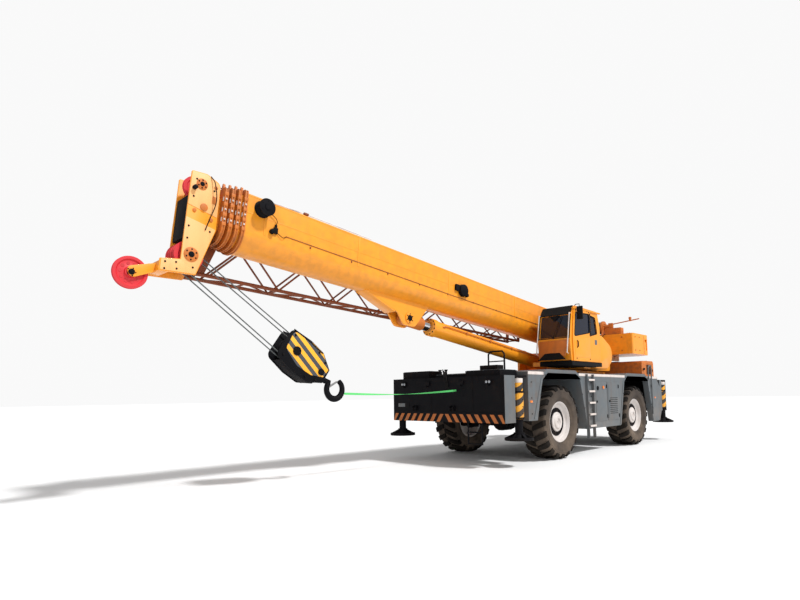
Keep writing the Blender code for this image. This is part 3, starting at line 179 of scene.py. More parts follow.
class Paint(Enum):
    """The finishes that pieces choose from."""

    YELLOW = Finish(shade(240, 152, 26), 0.38, wear=0.2, streaks=0.08, coat=0.3)
    # A darker, browner copy of the crane's yellow: painted shade for parts that stand in shadow, with
    # heavier wear, dust and streaks.
    YELLOW_SHADED = Finish(shade(196, 108, 34), 0.5, wear=0.4, dust=0.15, streaks=0.25, depth=0.15)
    # A pale peach copy of the crane's yellow: a painted highlight where the light falls full on it, with
    # wear, dust and streaks.
    PEACH_HIGHLIGHT = Finish(shade(240, 178, 110), 0.42, wear=0.15, dust=0.12, streaks=0.15)
    # A dark brown copy of the crane's yellow: painted shade for the jib, which lies in the boom's shadow;
    # the boom's wire is painted with it too.
    BROWN = Finish(shade(128, 62, 28), 0.55, wear=0.4, dust=0.1, streaks=0.25, depth=0.15)
    ORANGE = Finish(shade(178, 96, 26), 0.45, wear=0.3, dust=0.05)
    GREY = Finish(shade(88, 96, 101), 0.5, wear=0.3, dust=0.28, streaks=0.25, slot="chassis_grey")
    PALE = Finish(shade(214, 204, 198), 0.5, wear=0.35, dust=0.25, streaks=0.2, slot="rim_white")
    # Black paint made darker and less shiny than black paint is: partly painted shade, for the deep shade on
    # the front box's face.
    BLACK = Finish(shade(4, 4, 9), 0.62, wear=0.12, dust=0.01, shine=0.15, slot="frame_black")
    RIM = Finish(shade(208, 202, 199), 0.5, wear=0.3, dust=0.4, streaks=0.2, slot="rim_white")
    TYRE = Finish(shade(46, 39, 35), 0.9, dust=0.36, grain=38.0, depth=0.5, slot="tyre_rubber")
    TREAD = Finish(shade(13, 12, 12), 0.92, dust=0.06, grain=38.0, depth=0.5, shine=0.2, slot="tyre_rubber")
    RUBBER = Finish(shade(15, 15, 17), 0.75, dust=0.08, grain=90.0, shine=0.2, slot="seat_black")
    RED = Finish(shade(205, 38, 48), 0.42, wear=0.35, dust=0.1, slot="sheave_red")
    STEEL = Finish(shade(150, 150, 150), 0.38, metallic=0.9, wear=0.1, dust=0.15, slot="rope_steel")
    CHROME = Finish(shade(205, 205, 208), 0.12, metallic=1.0, dust=0.04, depth=0.0, slot="rod_chrome")
    ROPE = Finish(shade(96, 100, 100), 0.5, metallic=0.6, dust=0.15, grain=300.0, depth=0.6,
                  slot="rope_steel")
    SEAT = Finish(shade(22, 22, 26), 0.85, grain=260.0, depth=0.4, shine=0.25, slot="seat_black")
    GREEN = Finish(shade(88, 198, 108), 0.8, grain=300.0, depth=0.3, slot="rope_steel")
    AMBER = Finish(shade(230, 120, 20), 0.2, coat=0.6, depth=0.0, slot="rim_white")
    LENS = Finish(shade(150, 154, 160), 0.12, coat=0.8, depth=0.0, slot="rim_white")
    TAIL_RED = Finish(shade(170, 18, 20), 0.2, coat=0.6, depth=0.0, slot="rim_white")
    GLASS = Finish(shade(16, 26, 52), 0.04, clear=0.5, depth=0.0, slot="cab_glass")
    JACK_STRIPES = Finish(
        shade(240, 165, 30), 0.45, wear=0.4, dust=0.3, streaks=0.2, stripe=shade(24, 23, 26),
        across=(2.9, 0.0, 3.6),
    )
    BLOCK_STRIPES = Finish(
        shade(248, 176, 44), 0.42, wear=0.3, dust=0.12, stripe=shade(62, 66, 72), across=(4.4, 0.0, -4.1),
    )


class PaintShop:
    """Builds each shared shader group and each material once."""

    def __init__(self) -> None:
        """Starts with no group and no material."""
        self.groups: dict[str, bpy.types.NodeTree] = {}
        self.made: dict[Paint, bpy.types.Material] = {}

    def group(self, name: str, build: Callable[[bpy.types.NodeTree], None]) -> bpy.types.NodeTree:
        """A shared group, built the first time it is asked for.

        Args:
            name: The group's name.
            build: The function that adds its sockets and nodes.

        Returns:
            The group.
        """
        if name not in self.groups:
            tree = bpy.data.node_groups.new(name, "ShaderNodeTree")
            build(tree)
            self.groups[name] = tree
        return self.groups[name]

    def material(self, paint: Paint) -> bpy.types.Material:
        """The material of a finish.

        Args:
            paint: Which finish.

        Returns:
            The material, built the first time it is asked for.
        """
        if paint not in self.made:
            self.made[paint] = self._mix(paint)
        return self.made[paint]

    def _mix(self, paint: Paint) -> bpy.types.Material:
        """Builds the material of a finish.

        Args:
            paint: Which finish.

        Returns:
            The new material.
        """
        finish = paint.value
        material = bpy.data.materials.new(paint.name.lower())
        material.use_nodes = True
        tree = material.node_tree
        shader = tree.nodes["Principled BSDF"]
        shader.inputs["Roughness"].default_value = finish.roughness
        shader.inputs["Metallic"].default_value = finish.metallic
        shader.inputs["Specular IOR Level"].default_value = finish.shine
        shader.inputs["Coat Weight"].default_value = finish.coat
        shader.inputs["Transmission Weight"].default_value = finish.clear
        shader.inputs["Base Color"].default_value = (*finish.colour, 1.0)
        if finish.clear:
            return material
        colour = None
        if finish.stripe:
            bands = self._place(tree, "warning stripes", stripe_sockets)
            bands.inputs["First"].default_value = (*finish.colour, 1.0)
            bands.inputs["Second"].default_value = (*finish.stripe, 1.0)
            bands.inputs["Across"].default_value = finish.across
            colour = bands.outputs["Color"]
        for name, build, amount in (
            ("edge wear", wear_sockets, finish.wear), ("rain streaks", streak_sockets, finish.streaks),
            ("road dust", dust_sockets, finish.dust),
        ):
            if not amount:
                continue
            layer = self._place(tree, name, build)
            layer.inputs["Amount"].default_value = amount
            if colour:
                tree.links.new(colour, layer.inputs["Color"])
            else:
                layer.inputs["Color"].default_value = (*finish.colour, 1.0)
            colour = layer.outputs["Color"]
        if colour:
            tree.links.new(colour, shader.inputs["Base Color"])
        if finish.depth:
            grain = self._place(tree, "surface grain", grain_sockets)
            grain.inputs["Scale"].default_value = finish.grain
            grain.inputs["Roughness"].default_value = finish.roughness
            bump = tree.nodes.new("ShaderNodeBump")
            bump.inputs["Strength"].default_value = finish.depth
            bump.inputs["Distance"].default_value = 0.004
            tree.links.new(grain.outputs["Height"], bump.inputs["Height"])
            tree.links.new(bump.outputs["Normal"], shader.inputs["Normal"])
            tree.links.new(grain.outputs["Roughness"], shader.inputs["Roughness"])
        return material

    def _place(
        self, tree: bpy.types.NodeTree, name: str, build: Callable[[bpy.types.NodeTree], None]
    ) -> bpy.types.ShaderNodeGroup:
        """Places a shared group in a material.

        Args:
            tree: The material's nodes.
            name: The group's name.
            build: The function that makes the group.

        Returns:
            The group's node.
        """
        holder = tree.nodes.new("ShaderNodeGroup")
        holder.node_tree = self.group(name, build)
        return holder


BARE_METAL = shade(92, 70, 52)
RAIN_DIRT = shade(96, 62, 34)
ROAD_DUST = shade(168, 146, 124)


def sockets(
    tree: bpy.types.NodeTree, inputs: Iterable[tuple[str, str, float | tuple]],
    outputs: Iterable[tuple[str, str]],
) -> tuple[bpy.types.Node, bpy.types.Node]:
    """Gives a group its named sockets.

    Args:
        tree: The group.
        inputs: Name, kind and default of each input.
        outputs: Name and kind of each output.

    Returns:
        The group's input node and output node.
    """
    for name, kind, value in inputs:
        made = tree.interface.new_socket(name, in_out="INPUT", socket_type=f"NodeSocket{kind}")
        made.default_value = value
    for name, kind in outputs:
        tree.interface.new_socket(name, in_out="OUTPUT", socket_type=f"NodeSocket{kind}")
    return tree.nodes.new("NodeGroupInput"), tree.nodes.new("NodeGroupOutput")


def math_node(tree: bpy.types.NodeTree, operation: str, first: object,
             second: object) -> bpy.types.NodeSocket:
    """A Math node, clamped to between 0 and 1 where it multiplies.

    Args:
        tree: The group that it is added to.
        operation: What it does.
        first: A socket or a number.
        second: A socket or a number.

    Returns:
        The node's output.
    """
    made = tree.nodes.new("ShaderNodeMath")
    made.operation = operation
    made.use_clamp = operation == "MULTIPLY"
    for socket, value in zip(made.inputs, (first, second)):
        if isinstance(value, bpy.types.NodeSocket):
            tree.links.new(value, socket)
        else:
            socket.default_value = value
    return made.outputs[0]


def ramp_node(tree: bpy.types.NodeTree, value: bpy.types.NodeSocket, low: float,
              high: float) -> bpy.types.NodeSocket:
    """A value that runs from 0 at low to 1 at high, clamped.

    Args:
        tree: The group that it is added to.
        value: The value read.
        low: Where the result is 0.
        high: Where the result is 1.

    Returns:
        The node's output.
    """
    made = tree.nodes.new("ShaderNodeMapRange")
    made.inputs["From Min"].default_value = low
    made.inputs["From Max"].default_value = high
    tree.links.new(value, made.inputs["Value"])
    return made.outputs["Result"]


def noise_node(tree: bpy.types.NodeTree, scale: float, stretch: Point = (1.0, 1.0, 1.0)) -> bpy.types.Node:
    """A noise over the object's own coordinates.

    Args:
        tree: The group that it is added to.
        scale: The noise's scale.
        stretch: A factor on each axis.

    Returns:
        The noise node.
    """
    place = tree.nodes.new("ShaderNodeTexCoord")
    mapping = tree.nodes.new("ShaderNodeMapping")
    mapping.inputs["Scale"].default_value = stretch
    made = tree.nodes.new("ShaderNodeTexNoise")
    made.inputs["Scale"].default_value = scale
    made.inputs["Detail"].default_value = 5.0
    tree.links.new(place.outputs["Object"], mapping.inputs["Vector"])
    tree.links.new(mapping.outputs["Vector"], made.inputs["Vector"])
    return made


def blend_node(tree: bpy.types.NodeTree, share: object, first: object,
               second: object) -> bpy.types.NodeSocket:
    """A mix of two colours.

    Args:
        tree: The group that it is added to.
        share: The second colour's share, a socket.
        first: A socket or a colour.
        second: A socket or a colour.

    Returns:
        The mixed colour.
    """
    made = tree.nodes.new("ShaderNodeMix")
    made.data_type = "RGBA"
    tree.links.new(share, made.inputs["Factor"])
    for socket, value in zip((made.inputs[6], made.inputs[7]), (first, second)):
        if isinstance(value, bpy.types.NodeSocket):
            tree.links.new(value, socket)
        else:
            socket.default_value = (*value, 1.0)
    return made.outputs[2]


LAYER = (("Color", "Color", (0.5, 0.5, 0.5, 1.0)), ("Amount", "Float", 0.3))
LAYER_OUT = (("Color", "Color"), ("Mask", "Float"))


def wear_sockets(tree: bpy.types.NodeTree) -> None:
    """Paint rubbed thin and dark along sharp edges, in patches.

    Args:
        tree: The group.
    """
    start, end = sockets(tree, LAYER, LAYER_OUT)
    shape = tree.nodes.new("ShaderNodeNewGeometry")
    sharp = ramp_node(tree, shape.outputs["Pointiness"], 0.55, 0.64)
    patches = ramp_node(tree, noise_node(tree, 7.0).outputs["Fac"], 0.42, 0.62)
    mask = math_node(tree, "MULTIPLY", math_node(tree, "MULTIPLY", sharp, patches), start.outputs["Amount"])
    bare = blend_node(tree, mask, start.outputs["Color"], BARE_METAL)
    tree.links.new(bare, end.inputs["Color"])
    tree.links.new(mask, end.inputs["Mask"])


def streak_sockets(tree: bpy.types.NodeTree) -> None:
    """Soft dark runs drawn down the sides by rain.

    Args:
        tree: The group.
    """
    start, end = sockets(tree, LAYER, LAYER_OUT)
    runs = ramp_node(tree, noise_node(tree, 1.0, (9.0, 9.0, 0.7)).outputs["Fac"], 0.48, 0.78)
    mask = math_node(tree, "MULTIPLY", runs, start.outputs["Amount"])
    dark = blend_node(tree, mask, start.outputs["Color"], RAIN_DIRT)
    tree.links.new(dark, end.inputs["Color"])
    tree.links.new(mask, end.inputs["Mask"])


def dust_sockets(tree: bpy.types.NodeTree) -> None:
    """Pale brown dust, thick low down and on what faces up.

    Args:
        tree: The group.
    """
    start, end = sockets(tree, LAYER, LAYER_OUT)
    place = tree.nodes.new("ShaderNodeTexCoord")
    parts = tree.nodes.new("ShaderNodeSeparateXYZ")
    tree.links.new(place.outputs["Object"], parts.inputs[0])
    low = ramp_node(tree, parts.outputs["Z"], 2.4, 0.2)
    facing = tree.nodes.new("ShaderNodeSeparateXYZ")
    shape = tree.nodes.new("ShaderNodeNewGeometry")
    tree.links.new(shape.outputs["Normal"], facing.inputs[0])
    lying = math_node(tree, "MULTIPLY", ramp_node(tree, facing.outputs["Z"], 0.4, 1.0), 0.5)
    patches = ramp_node(tree, noise_node(tree, 3.1).outputs["Fac"], 0.25, 0.72)
    amount = math_node(tree, "MULTIPLY", math_node(tree, "MAXIMUM", low, lying), patches)
    mask = math_node(tree, "MULTIPLY", amount, start.outputs["Amount"])
    dusty = blend_node(tree, mask, start.outputs["Color"], ROAD_DUST)
    tree.links.new(dusty, end.inputs["Color"])
    tree.links.new(mask, end.inputs["Mask"])


def grain_sockets(tree: bpy.types.NodeTree) -> None:
    """A fine unevenness of the surface and of its shine.

    Args:
        tree: The group.
    """
    start, end = sockets(
        tree, (("Scale", "Float", 60.0), ("Roughness", "Float", 0.5)),
        (("Height", "Float"), ("Roughness", "Float")),
    )
    fine = noise_node(tree, 60.0)
    tree.links.new(start.outputs["Scale"], fine.inputs["Scale"])
    tree.links.new(fine.outputs["Fac"], end.inputs["Height"])
    broad = ramp_node(tree, noise_node(tree, 4.0).outputs["Fac"], 0.2, 0.8)
    varied = math_node(tree, "MULTIPLY_ADD", broad, 0.16)
    tree.links.new(start.outputs["Roughness"], varied.node.inputs[2])
    tree.links.new(varied, end.inputs["Roughness"])


def stripe_sockets(tree: bpy.types.NodeTree) -> None:
    """Slanting bands of two colours, square to a direction whose length is bands per metre.

    Args:
        tree: The group.
    """
    start, end = sockets(
        tree, (("First", "Color", (1, 1, 0, 1)), ("Second", "Color", (0, 0, 0, 1)),
         ("Across", "Vector", (0, 0, 3))),
        (("Color", "Color"),),
    )
    place = tree.nodes.new("ShaderNodeTexCoord")
    along = tree.nodes.new("ShaderNodeVectorMath")
    along.operation = "DOT_PRODUCT"
    tree.links.new(place.outputs["Object"], along.inputs[0])
    tree.links.new(start.outputs["Across"], along.inputs[1])
    step = math_node(tree, "FRACT", along.outputs["Value"], 0.0)
    band = math_node(tree, "GREATER_THAN", step, 0.5)
    mixed = blend_node(tree, band, start.outputs["First"], start.outputs["Second"])
    tree.links.new(mixed, end.inputs["Color"])


SHOP = PaintShop()


def rounded(corners: Sequence[Point], steps: int = 5) -> list[Pair]:
    """An outline with a fillet at each corner.

    Args:
        corners: Points of (u, v, fillet radius).
        steps: Segments in each fillet.

    Returns:
        The outline's points.
    """
    outline: list[Pair] = []
    for index, (u, v, radius) in enumerate(corners):
        here = Vector((u, v))
        if radius <= 0:
            outline.append((u, v))
            continue
        before = (Vector(corners[index - 1][:2]) - here).normalized()
        after = (Vector(corners[(index + 1) % len(corners)][:2]) - here).normalized()
        half = before.angle(after) / 2
        centre = here + (before + after).normalized() * radius / math.sin(half)
        reach = radius / math.tan(half)
        first = here + before * reach - centre
        last = here + after * reach - centre
        start = math.atan2(first.y, first.x)
        sweep = (math.atan2(last.y, last.x) - start + math.pi) % math.tau - math.pi
        for step in range(steps + 1):
            angle = start + sweep * step / steps
            outline.append((centre.x + radius * math.cos(angle), centre.y + radius * math.sin(angle)))
    return outline


def on_axis(across: str, along: float, u: float, v: float) -> Point:
    """A point given by its place along an axis and by its places on the two others.

    Args:
        across: The axis, x, y or z.
        along: The place on it.
        u: The place on the first of the others.
        v: The place on the second.

    Returns:
        The point.
    """
    return {"x": (along, u, v), "y": (u, along, v), "z": (u, v, along)}[across]


def both(side: int, near: float, far: float) -> Span:
    """Two places across the crane on one side of it, in rising order."""
    return tuple(sorted((side * near, side * far)))


def smooth_route(points: Sequence[Point], steps: int = 6) -> list[Point]:
    """A soft curve through points, for hoses and cables.

    Args:
        points: The places that it passes.
        steps: Segments between two of them.

    Returns:
        The curve's points.
    """
    knots = [Vector(point) for point in points]
    knots = [knots[0] * 2 - knots[1], *knots, knots[-1] * 2 - knots[-2]]
    route: list[Point] = []
    for index in range(1, len(knots) - 2):
        a, b, c, d = knots[index - 1:index + 3]
        for step in range(steps):
            t = step / steps
            place = 0.5 * (2 * b + (c - a) * t + (2 * a - 5 * b + 4 * c - d) * t * t
                           + (3 * b - a - 3 * c + d) * t ** 3)
            route.append(tuple(place))
    route.append(tuple(knots[-2]))
    return route


class Sculpt:
    """Solids gathered into one mesh, drawn in one of the crane's frames."""

    def __init__(self, place: Matrix = ROOT) -> None:
        """Starts an empty mesh in a frame.

        Args:
            place: The frame, as it stands at rest.
        """
        self.mesh = bmesh.new()
        self.place = place

    def join(self, made: bmesh.types.BMesh) -> Sculpt:
        """Adds a scratch solid and frees it.

        Args:
            made: The scratch solid.

        Returns:
            This sculpt.
        """
        bmesh.ops.recalc_face_normals(made, faces=made.faces)
        scratch = bpy.data.meshes.new("scratch")
        made.to_mesh(scratch)
        made.free()
        self.mesh.from_mesh(scratch)
        bpy.data.meshes.remove(scratch)
        return self

    def block(self, x: Span, y: Span, z: Span, edge: float = 0.005) -> Sculpt:
        """Adds a block with softened edges.

        Args:
            x: Its two places on X, in any order.
            y: Its two places on Y.
            z: Its two places on Z.
            edge: How far its edges are taken off.

        Returns:
            This sculpt.
        """
        made = bmesh.new()
        bmesh.ops.create_cube(made, size=1.0)
        sizes = [abs(span[1] - span[0]) for span in (x, y, z)]
        bmesh.ops.scale(made, vec=sizes, verts=made.verts)
        bmesh.ops.translate(made, vec=[sum(span) / 2 for span in (x, y, z)], verts=made.verts)
        soft = min(edge, min(sizes) * 0.3)
        if soft > 0:
            bmesh.ops.bevel(made, geom=made.edges[:], offset=soft, segments=2, affect="EDGES", profile=0.5)
        return self.join(made)

    def prism(self, outline: Sequence[Pair], across: str, span: Span, edge: float = 0.004,
              inner: Sequence[Pair] | None = None) -> Sculpt:
        """Adds a plate with an outline, solid or with a like inner outline cut out.

        Args:
            outline: Points in the plane square to the axis, in that plane's own order of axes.
            across: The axis that it is thick along, x, y or z.
            span: Its two places on that axis.
            edge: How far its rims are taken off.
            inner: The points of the hole's outline, as many as the outer one has.

        Returns:
            This sculpt.
        """
        made = bmesh.new()
        loops = []
        for points in (outline, inner) if inner else (outline,):
            loops.append([[made.verts.new(on_axis(across, w, u, v)) for u, v in points] for w in span])
        count = len(outline)
        for near, far in loops:
            for index in range(count):
                made.faces.new((near[index - 1], near[index], far[index], far[index - 1]))
        for end in (0, 1):
            if inner:
                out, cut = loops[0][end], loops[1][end]
                for index in range(count):
                    made.faces.new((out[index - 1], out[index], cut[index], cut[index - 1]))
            else:
                made.faces.new(loops[0][end])
        bmesh.ops.recalc_face_normals(made, faces=made.faces)
        rims = [line for line in made.edges if line.is_manifold and line.calc_face_angle(0.0) > 0.7]
        if edge:
            bmesh.ops.bevel(made, geom=rims, offset=edge, segments=2, affect="EDGES", profile=0.5)
        return self.join(made)

    def bar(self, start: Point, end: Point, radius: float, sides: int = 20, end_radius: float | None = None,
            edge: float = 0.0) -> Sculpt:
        """Adds a round bar or cone.

        Args:
            start: The middle of one end.
            end: The middle of the other.
            radius: The radius at the start.
            sides: Sides round it.
            end_radius: The radius at the end, if it differs.
            edge: How far its rims are taken off.

        Returns:
            This sculpt.
        """
        axis = Vector(end) - Vector(start)
        made = bmesh.new()
        bmesh.ops.create_cone(made, cap_ends=True, segments=sides, radius1=radius,
                              radius2=radius if end_radius is None else end_radius, depth=axis.length)
        if edge:
            rims = [line for line in made.edges if line.calc_face_angle(0.0) > 1.0]
            bmesh.ops.bevel(made, geom=rims, offset=edge, segments=2, affect="EDGES", profile=0.5)
        turn = Vector((0, 0, 1)).rotation_difference(axis).to_matrix().to_4x4()
        place = Matrix.Translation((Vector(start) + Vector(end)) / 2) @ turn
        bmesh.ops.transform(made, matrix=place, verts=made.verts)
        return self.join(made)

    def lathe(self, profile: Sequence[Pair], centre: Point, across: str = "y", sides: int = 64,
              ring: bool = False) -> Sculpt:
        """Adds a turned shape.

        Args:
            profile: Points of (place along the axis, radius).
            centre: Where the axis passes.
            across: The axis, x, y or z.
            sides: Sides round it.
            ring: Whether the profile closes on itself.

        Returns:
            This sculpt.
        """
        middle = Vector(centre)
        made = bmesh.new()
        loops = []
        for along, radius in profile:
            turns = [math.tau * side / sides for side in range(sides if radius > 0 else 1)]
            points = [on_axis(across, along, radius * math.cos(t), radius * math.sin(t)) for t in turns]
            loops.append([made.verts.new(middle + Vector(point)) for point in points])
        following = loops[1:] + loops[:1] if ring else loops[1:]
        for near, far in zip(loops, following):
            if len(near) == 1 and len(far) == 1:
                continue
            for side in range(sides):
                after = side + 1
                corners = (near[side % len(near)], near[after % len(near)], far[after % len(far)],
                           far[side % len(far)])
                made.faces.new(list(dict.fromkeys(corners)))
        return self.join(made)

    def pipe(self, route: Sequence[Point], radius: float, sides: int = 10,
             scales: Sequence[float] | None = None, closed: bool = False) -> Sculpt:
        """Adds a bent round bar.

        Args:
            route: The points of its middle line.
            radius: Its radius.
            sides: Sides round it.
            scales: A radius factor at each point.
            closed: Whether its end runs into its start.

        Returns:
            This sculpt.
        """
        knots = [Vector(point) for point in route]
        count = len(knots)
        made = bmesh.new()
        across: Vector | None = None
        loops = []
        for index, here in enumerate(knots):
            before = knots[index - 1] if closed or index else here
            after = knots[(index + 1) % count] if closed or index < count - 1 else here
            heading = (after - before).normalized()
            if across is None:
                across = heading.orthogonal().normalized()
            across = (across - heading * across.dot(heading)).normalized()
            other = heading.cross(across)
            size = radius * (scales[index] if scales else 1.0)
            loops.append([
                made.verts.new(here + (across * math.cos(t) + other * math.sin(t)) * size)
                for t in (math.tau * side / sides for side in range(sides))
            ])
        for near, far in zip(loops, loops[1:] + loops[:1] if closed else loops[1:]):
            for side in range(sides):
                made.faces.new((near[side - 1], near[side], far[side], far[side - 1]))
        if not closed:
            made.faces.new(loops[0])
            made.faces.new(loops[-1])
        return self.join(made)

    def loft(self, sections: Sequence[Sequence[Point]]) -> Sculpt:
        """Adds a closed skin through sections with as many points each.

        Args:
            sections: Loops of points, in order.

        Returns:
            This sculpt.
        """
        made = bmesh.new()
        loops = [[made.verts.new(point) for point in section] for section in sections]
        for near, far in zip(loops, loops[1:]):
            for side in range(len(near)):
                made.faces.new((near[side - 1], near[side], far[side], far[side - 1]))
        made.faces.new(loops[0])
        made.faces.new(loops[-1])
        return self.join(made)

    def bolt(self, centre: Point, normal: Point, radius: float = 0.013) -> Sculpt:
        """Adds a washer and a six-sided head, standing on a surface.

        Args:
            centre: The place on the surface.
            normal: The way out of the surface.
            radius: The head's radius.

        Returns:
            This sculpt.
        """
        base = Vector(centre)
        out = Vector(normal).normalized()
        self.bar(base - out * 0.002, base + out * radius * 0.3, radius * 1.45, 14)
        return self.bar(base, base + out * radius * 1.1, radius, 6)

    def bolt_ring(self, centre: Point, across: str, radius: float, count: int, size: float,
                  out: float) -> Sculpt:
        """Adds bolts in a ring.

        Args:
            centre: The ring's middle, on the surface.
            across: The ring's axis, x, y or z.
            radius: The ring's radius.
            count: How many bolts.
            size: The radius of each head.
            out: 1 or -1, the way out along the axis.

        Returns:
            This sculpt.
        """
        normal = on_axis(across, out, 0, 0)
        for index in range(count):
            turn = math.tau * (index + 0.5) / count
            offset = Vector(on_axis(across, 0, radius * math.cos(turn), radius * math.sin(turn)))
            self.bolt(Vector(centre) + offset, normal, size)
        return self

    def piece(self, name: str, paint: Paint, body: str, slot: str = "", replaces: Sequence[str] = (),
              sharp: float = 34.0) -> bpy.types.Object:
        """Turns the mesh into a named piece that rides on a body.

        Args:
            name: The piece's name.
            paint: Its finish.
            body: The body that it moves with, empty for a piece that joins two.
            slot: The record's slot, where it isn't the finish's own; not used.
            replaces: The solids that it stands for.
            sharp: Edges over this angle in degrees stay sharp.

        Returns:
            The new object.
        """
        bmesh.ops.transform(self.mesh, matrix=self.place, verts=self.mesh.verts)
        mesh = bpy.data.meshes.new(name)
        self.mesh.to_mesh(mesh)
        self.mesh.free()
        mesh.polygons.foreach_set("use_smooth", [True] * len(mesh.polygons))
        mesh.set_sharp_from_angle(angle=math.radians(sharp))
        mesh.materials.append(SHOP.material(paint))
        made = bpy.data.objects.new(name, mesh)
        bpy.context.scene.collection.objects.link(made)
        if body:
            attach(made, body)
        if replaces:
            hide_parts(*replaces)
        LOG.info("%s rides on %s", name, body)
        return made


@dataclass
class Wheel:
    """One wheel: a lugged tyre on a dished rim."""

    key: str
    x: float
    side: int
    centre_y: float = 1.431
    radius: float = 0.93
    half_width: float = 0.345
    lugs: int = 20
    lug_sweep: float = 0.55

    def place(self) -> Matrix:
        """The wheel's frame, with +Y outwards."""
        turn = Matrix.Rotation(0.0 if self.side > 0 else math.pi, 4, "Z")
        return ROOT @ Matrix.Translation((self.x, self.side * self.centre_y, self.radius)) @ turn

    def build(self) -> None:
        """Builds the tyre, its lugs, the rim, what is bolted to it, and a dark ring of painted shade in the
        rim's groove.
        """
        body = f"wheel_{self.key}"
        self.carcass(Sculpt(self.place())).piece(
            f"tyre_sides_{self.key}", Paint.TYRE, body, replaces=(f"tyre_{self.key}",))
        self.tread(Sculpt(self.place())).piece(f"tyre_lugs_{self.key}", Paint.TREAD, body)
        self.disc(Sculpt(self.place())).piece(f"rim_disc_{self.key}", Paint.RIM, body,
                                              replaces=(f"rim_{self.key}",))
        dark = Sculpt(self.place())
        # A dark ring over the walls of the rim's groove round the nuts: painted shade for the groove.
        dark.lathe([(0.083, 0.249), (0.172, 0.249), (0.172, 0.350), (0.083, 0.322)], (0, 0, 0), ring=True)
        dark.bolt_ring((0, 0.171, 0), "y", 0.300, 24, 0.014, 1)
        dark.bar((0.42, 0.17, 0.02), (0.44, 0.25, 0.02), 0.008, 8)
        dark.piece(f"wheel_nuts_and_groove_shade_{self.key}", Paint.BLACK, body)

    def carcass(self, sculpt: Sculpt) -> Sculpt:
        """The tyre's body with its bulging sides, bead and side ribs.

        Args:
            sculpt: The sculpt it is added to.

        Returns:
            The same sculpt.
        """
        half = (
            (0.235, 0.492), (0.262, 0.512), (0.280, 0.522), (0.296, 0.556), (0.316, 0.600), (0.322, 0.606),
            (0.328, 0.614), (0.336, 0.655), (0.3395, 0.700), (0.3385, 0.745), (0.343, 0.752),
            (0.3425, 0.766), (0.336, 0.772), (0.330, 0.812), (0.314, 0.846), (0.286, 0.866), (0.20, 0.872),
            (0.10, 0.876),
        )
        profile = [*half, *[(-y, radius) for y, radius in reversed(half)]]
        return sculpt.lathe(profile, (0, 0, 0), sides=96, ring=True)

    def tread(self, sculpt: Sculpt) -> Sculpt:
        """Curved lugs from the crown over both shoulders.

        Args:
            sculpt: The sculpt it is added to.

        Returns:
            The same sculpt.
        """
        pitch = math.tau / self.lugs
        # y, top radius, base radius, half of the top's run and of the base's run round the tyre
        stations = (
            (0.016, 0.9292, 0.860, 0.056, 0.066), (0.10, 0.9298, 0.860, 0.060, 0.071),
            (0.20, 0.9285, 0.855, 0.064, 0.075), (0.272, 0.921, 0.848, 0.068, 0.078),
            (0.316, 0.903, 0.825, 0.070, 0.080), (0.338, 0.868, 0.795, 0.068, 0.078),
            (0.3445, 0.822, 0.770, 0.060, 0.070),
        )
        for index in range(self.lugs * 2):
            side = 1 if index % 2 else -1
            start = pitch * (index // 2 + (0.5 if side > 0 else 0.0))
            sections = []
            for y, top, base, narrow, wide in stations:
                middle = start + pitch * self.lug_sweep * y / self.half_width
                inner_y = y if y < 0.3 else y - 0.03
                corners = ((-wide, base, inner_y), (-narrow, top, y), (narrow, top, y),
                           (wide, base, inner_y))
                sections.append([
                    (radius * math.cos(middle + run / top), side * across,
                     radius * math.sin(middle + run / top))
                    for run, radius, across in corners
                ])
            sculpt.loft(sections)
        return sculpt

    def disc(self, sculpt: Sculpt) -> Sculpt:
        """The rim with its lock ring, disc and hub.

        Args:
            sculpt: The sculpt it is added to.

        Returns:
            The same sculpt.
        """
        profile = [
            (0.205, 0.0), (0.205, 0.060), (0.215, 0.066), (0.215, 0.088), (0.232, 0.092), (0.232, 0.155),
            (0.222, 0.168), (0.205, 0.180), (0.200, 0.230), (0.188, 0.244), (0.095, 0.250), (0.085, 0.262),
            (0.085, 0.322), (0.096, 0.336), (0.150, 0.348), (0.168, 0.366), (0.176, 0.420), (0.205, 0.452),
            (0.236, 0.460), (0.244, 0.468), (0.244, 0.478), (0.256, 0.482), (0.268, 0.492), (0.270, 0.506),
            (0.262, 0.512), (-0.252, 0.503), (-0.252, 0.455), (-0.06, 0.440), (0.015, 0.41), (0.021, 0.22),
            (0.021, 0.0),
        ]
        sculpt.lathe(profile, (0, 0, 0), sides=72)
        for turn in (0.4, 2.5, 4.6):
            sculpt.bar((0.03 * math.cos(turn), 0.20, 0.03 * math.sin(turn)),
                       (0.03 * math.cos(turn), 0.222, 0.03 * math.sin(turn)), 0.010, 10)
        return sculpt


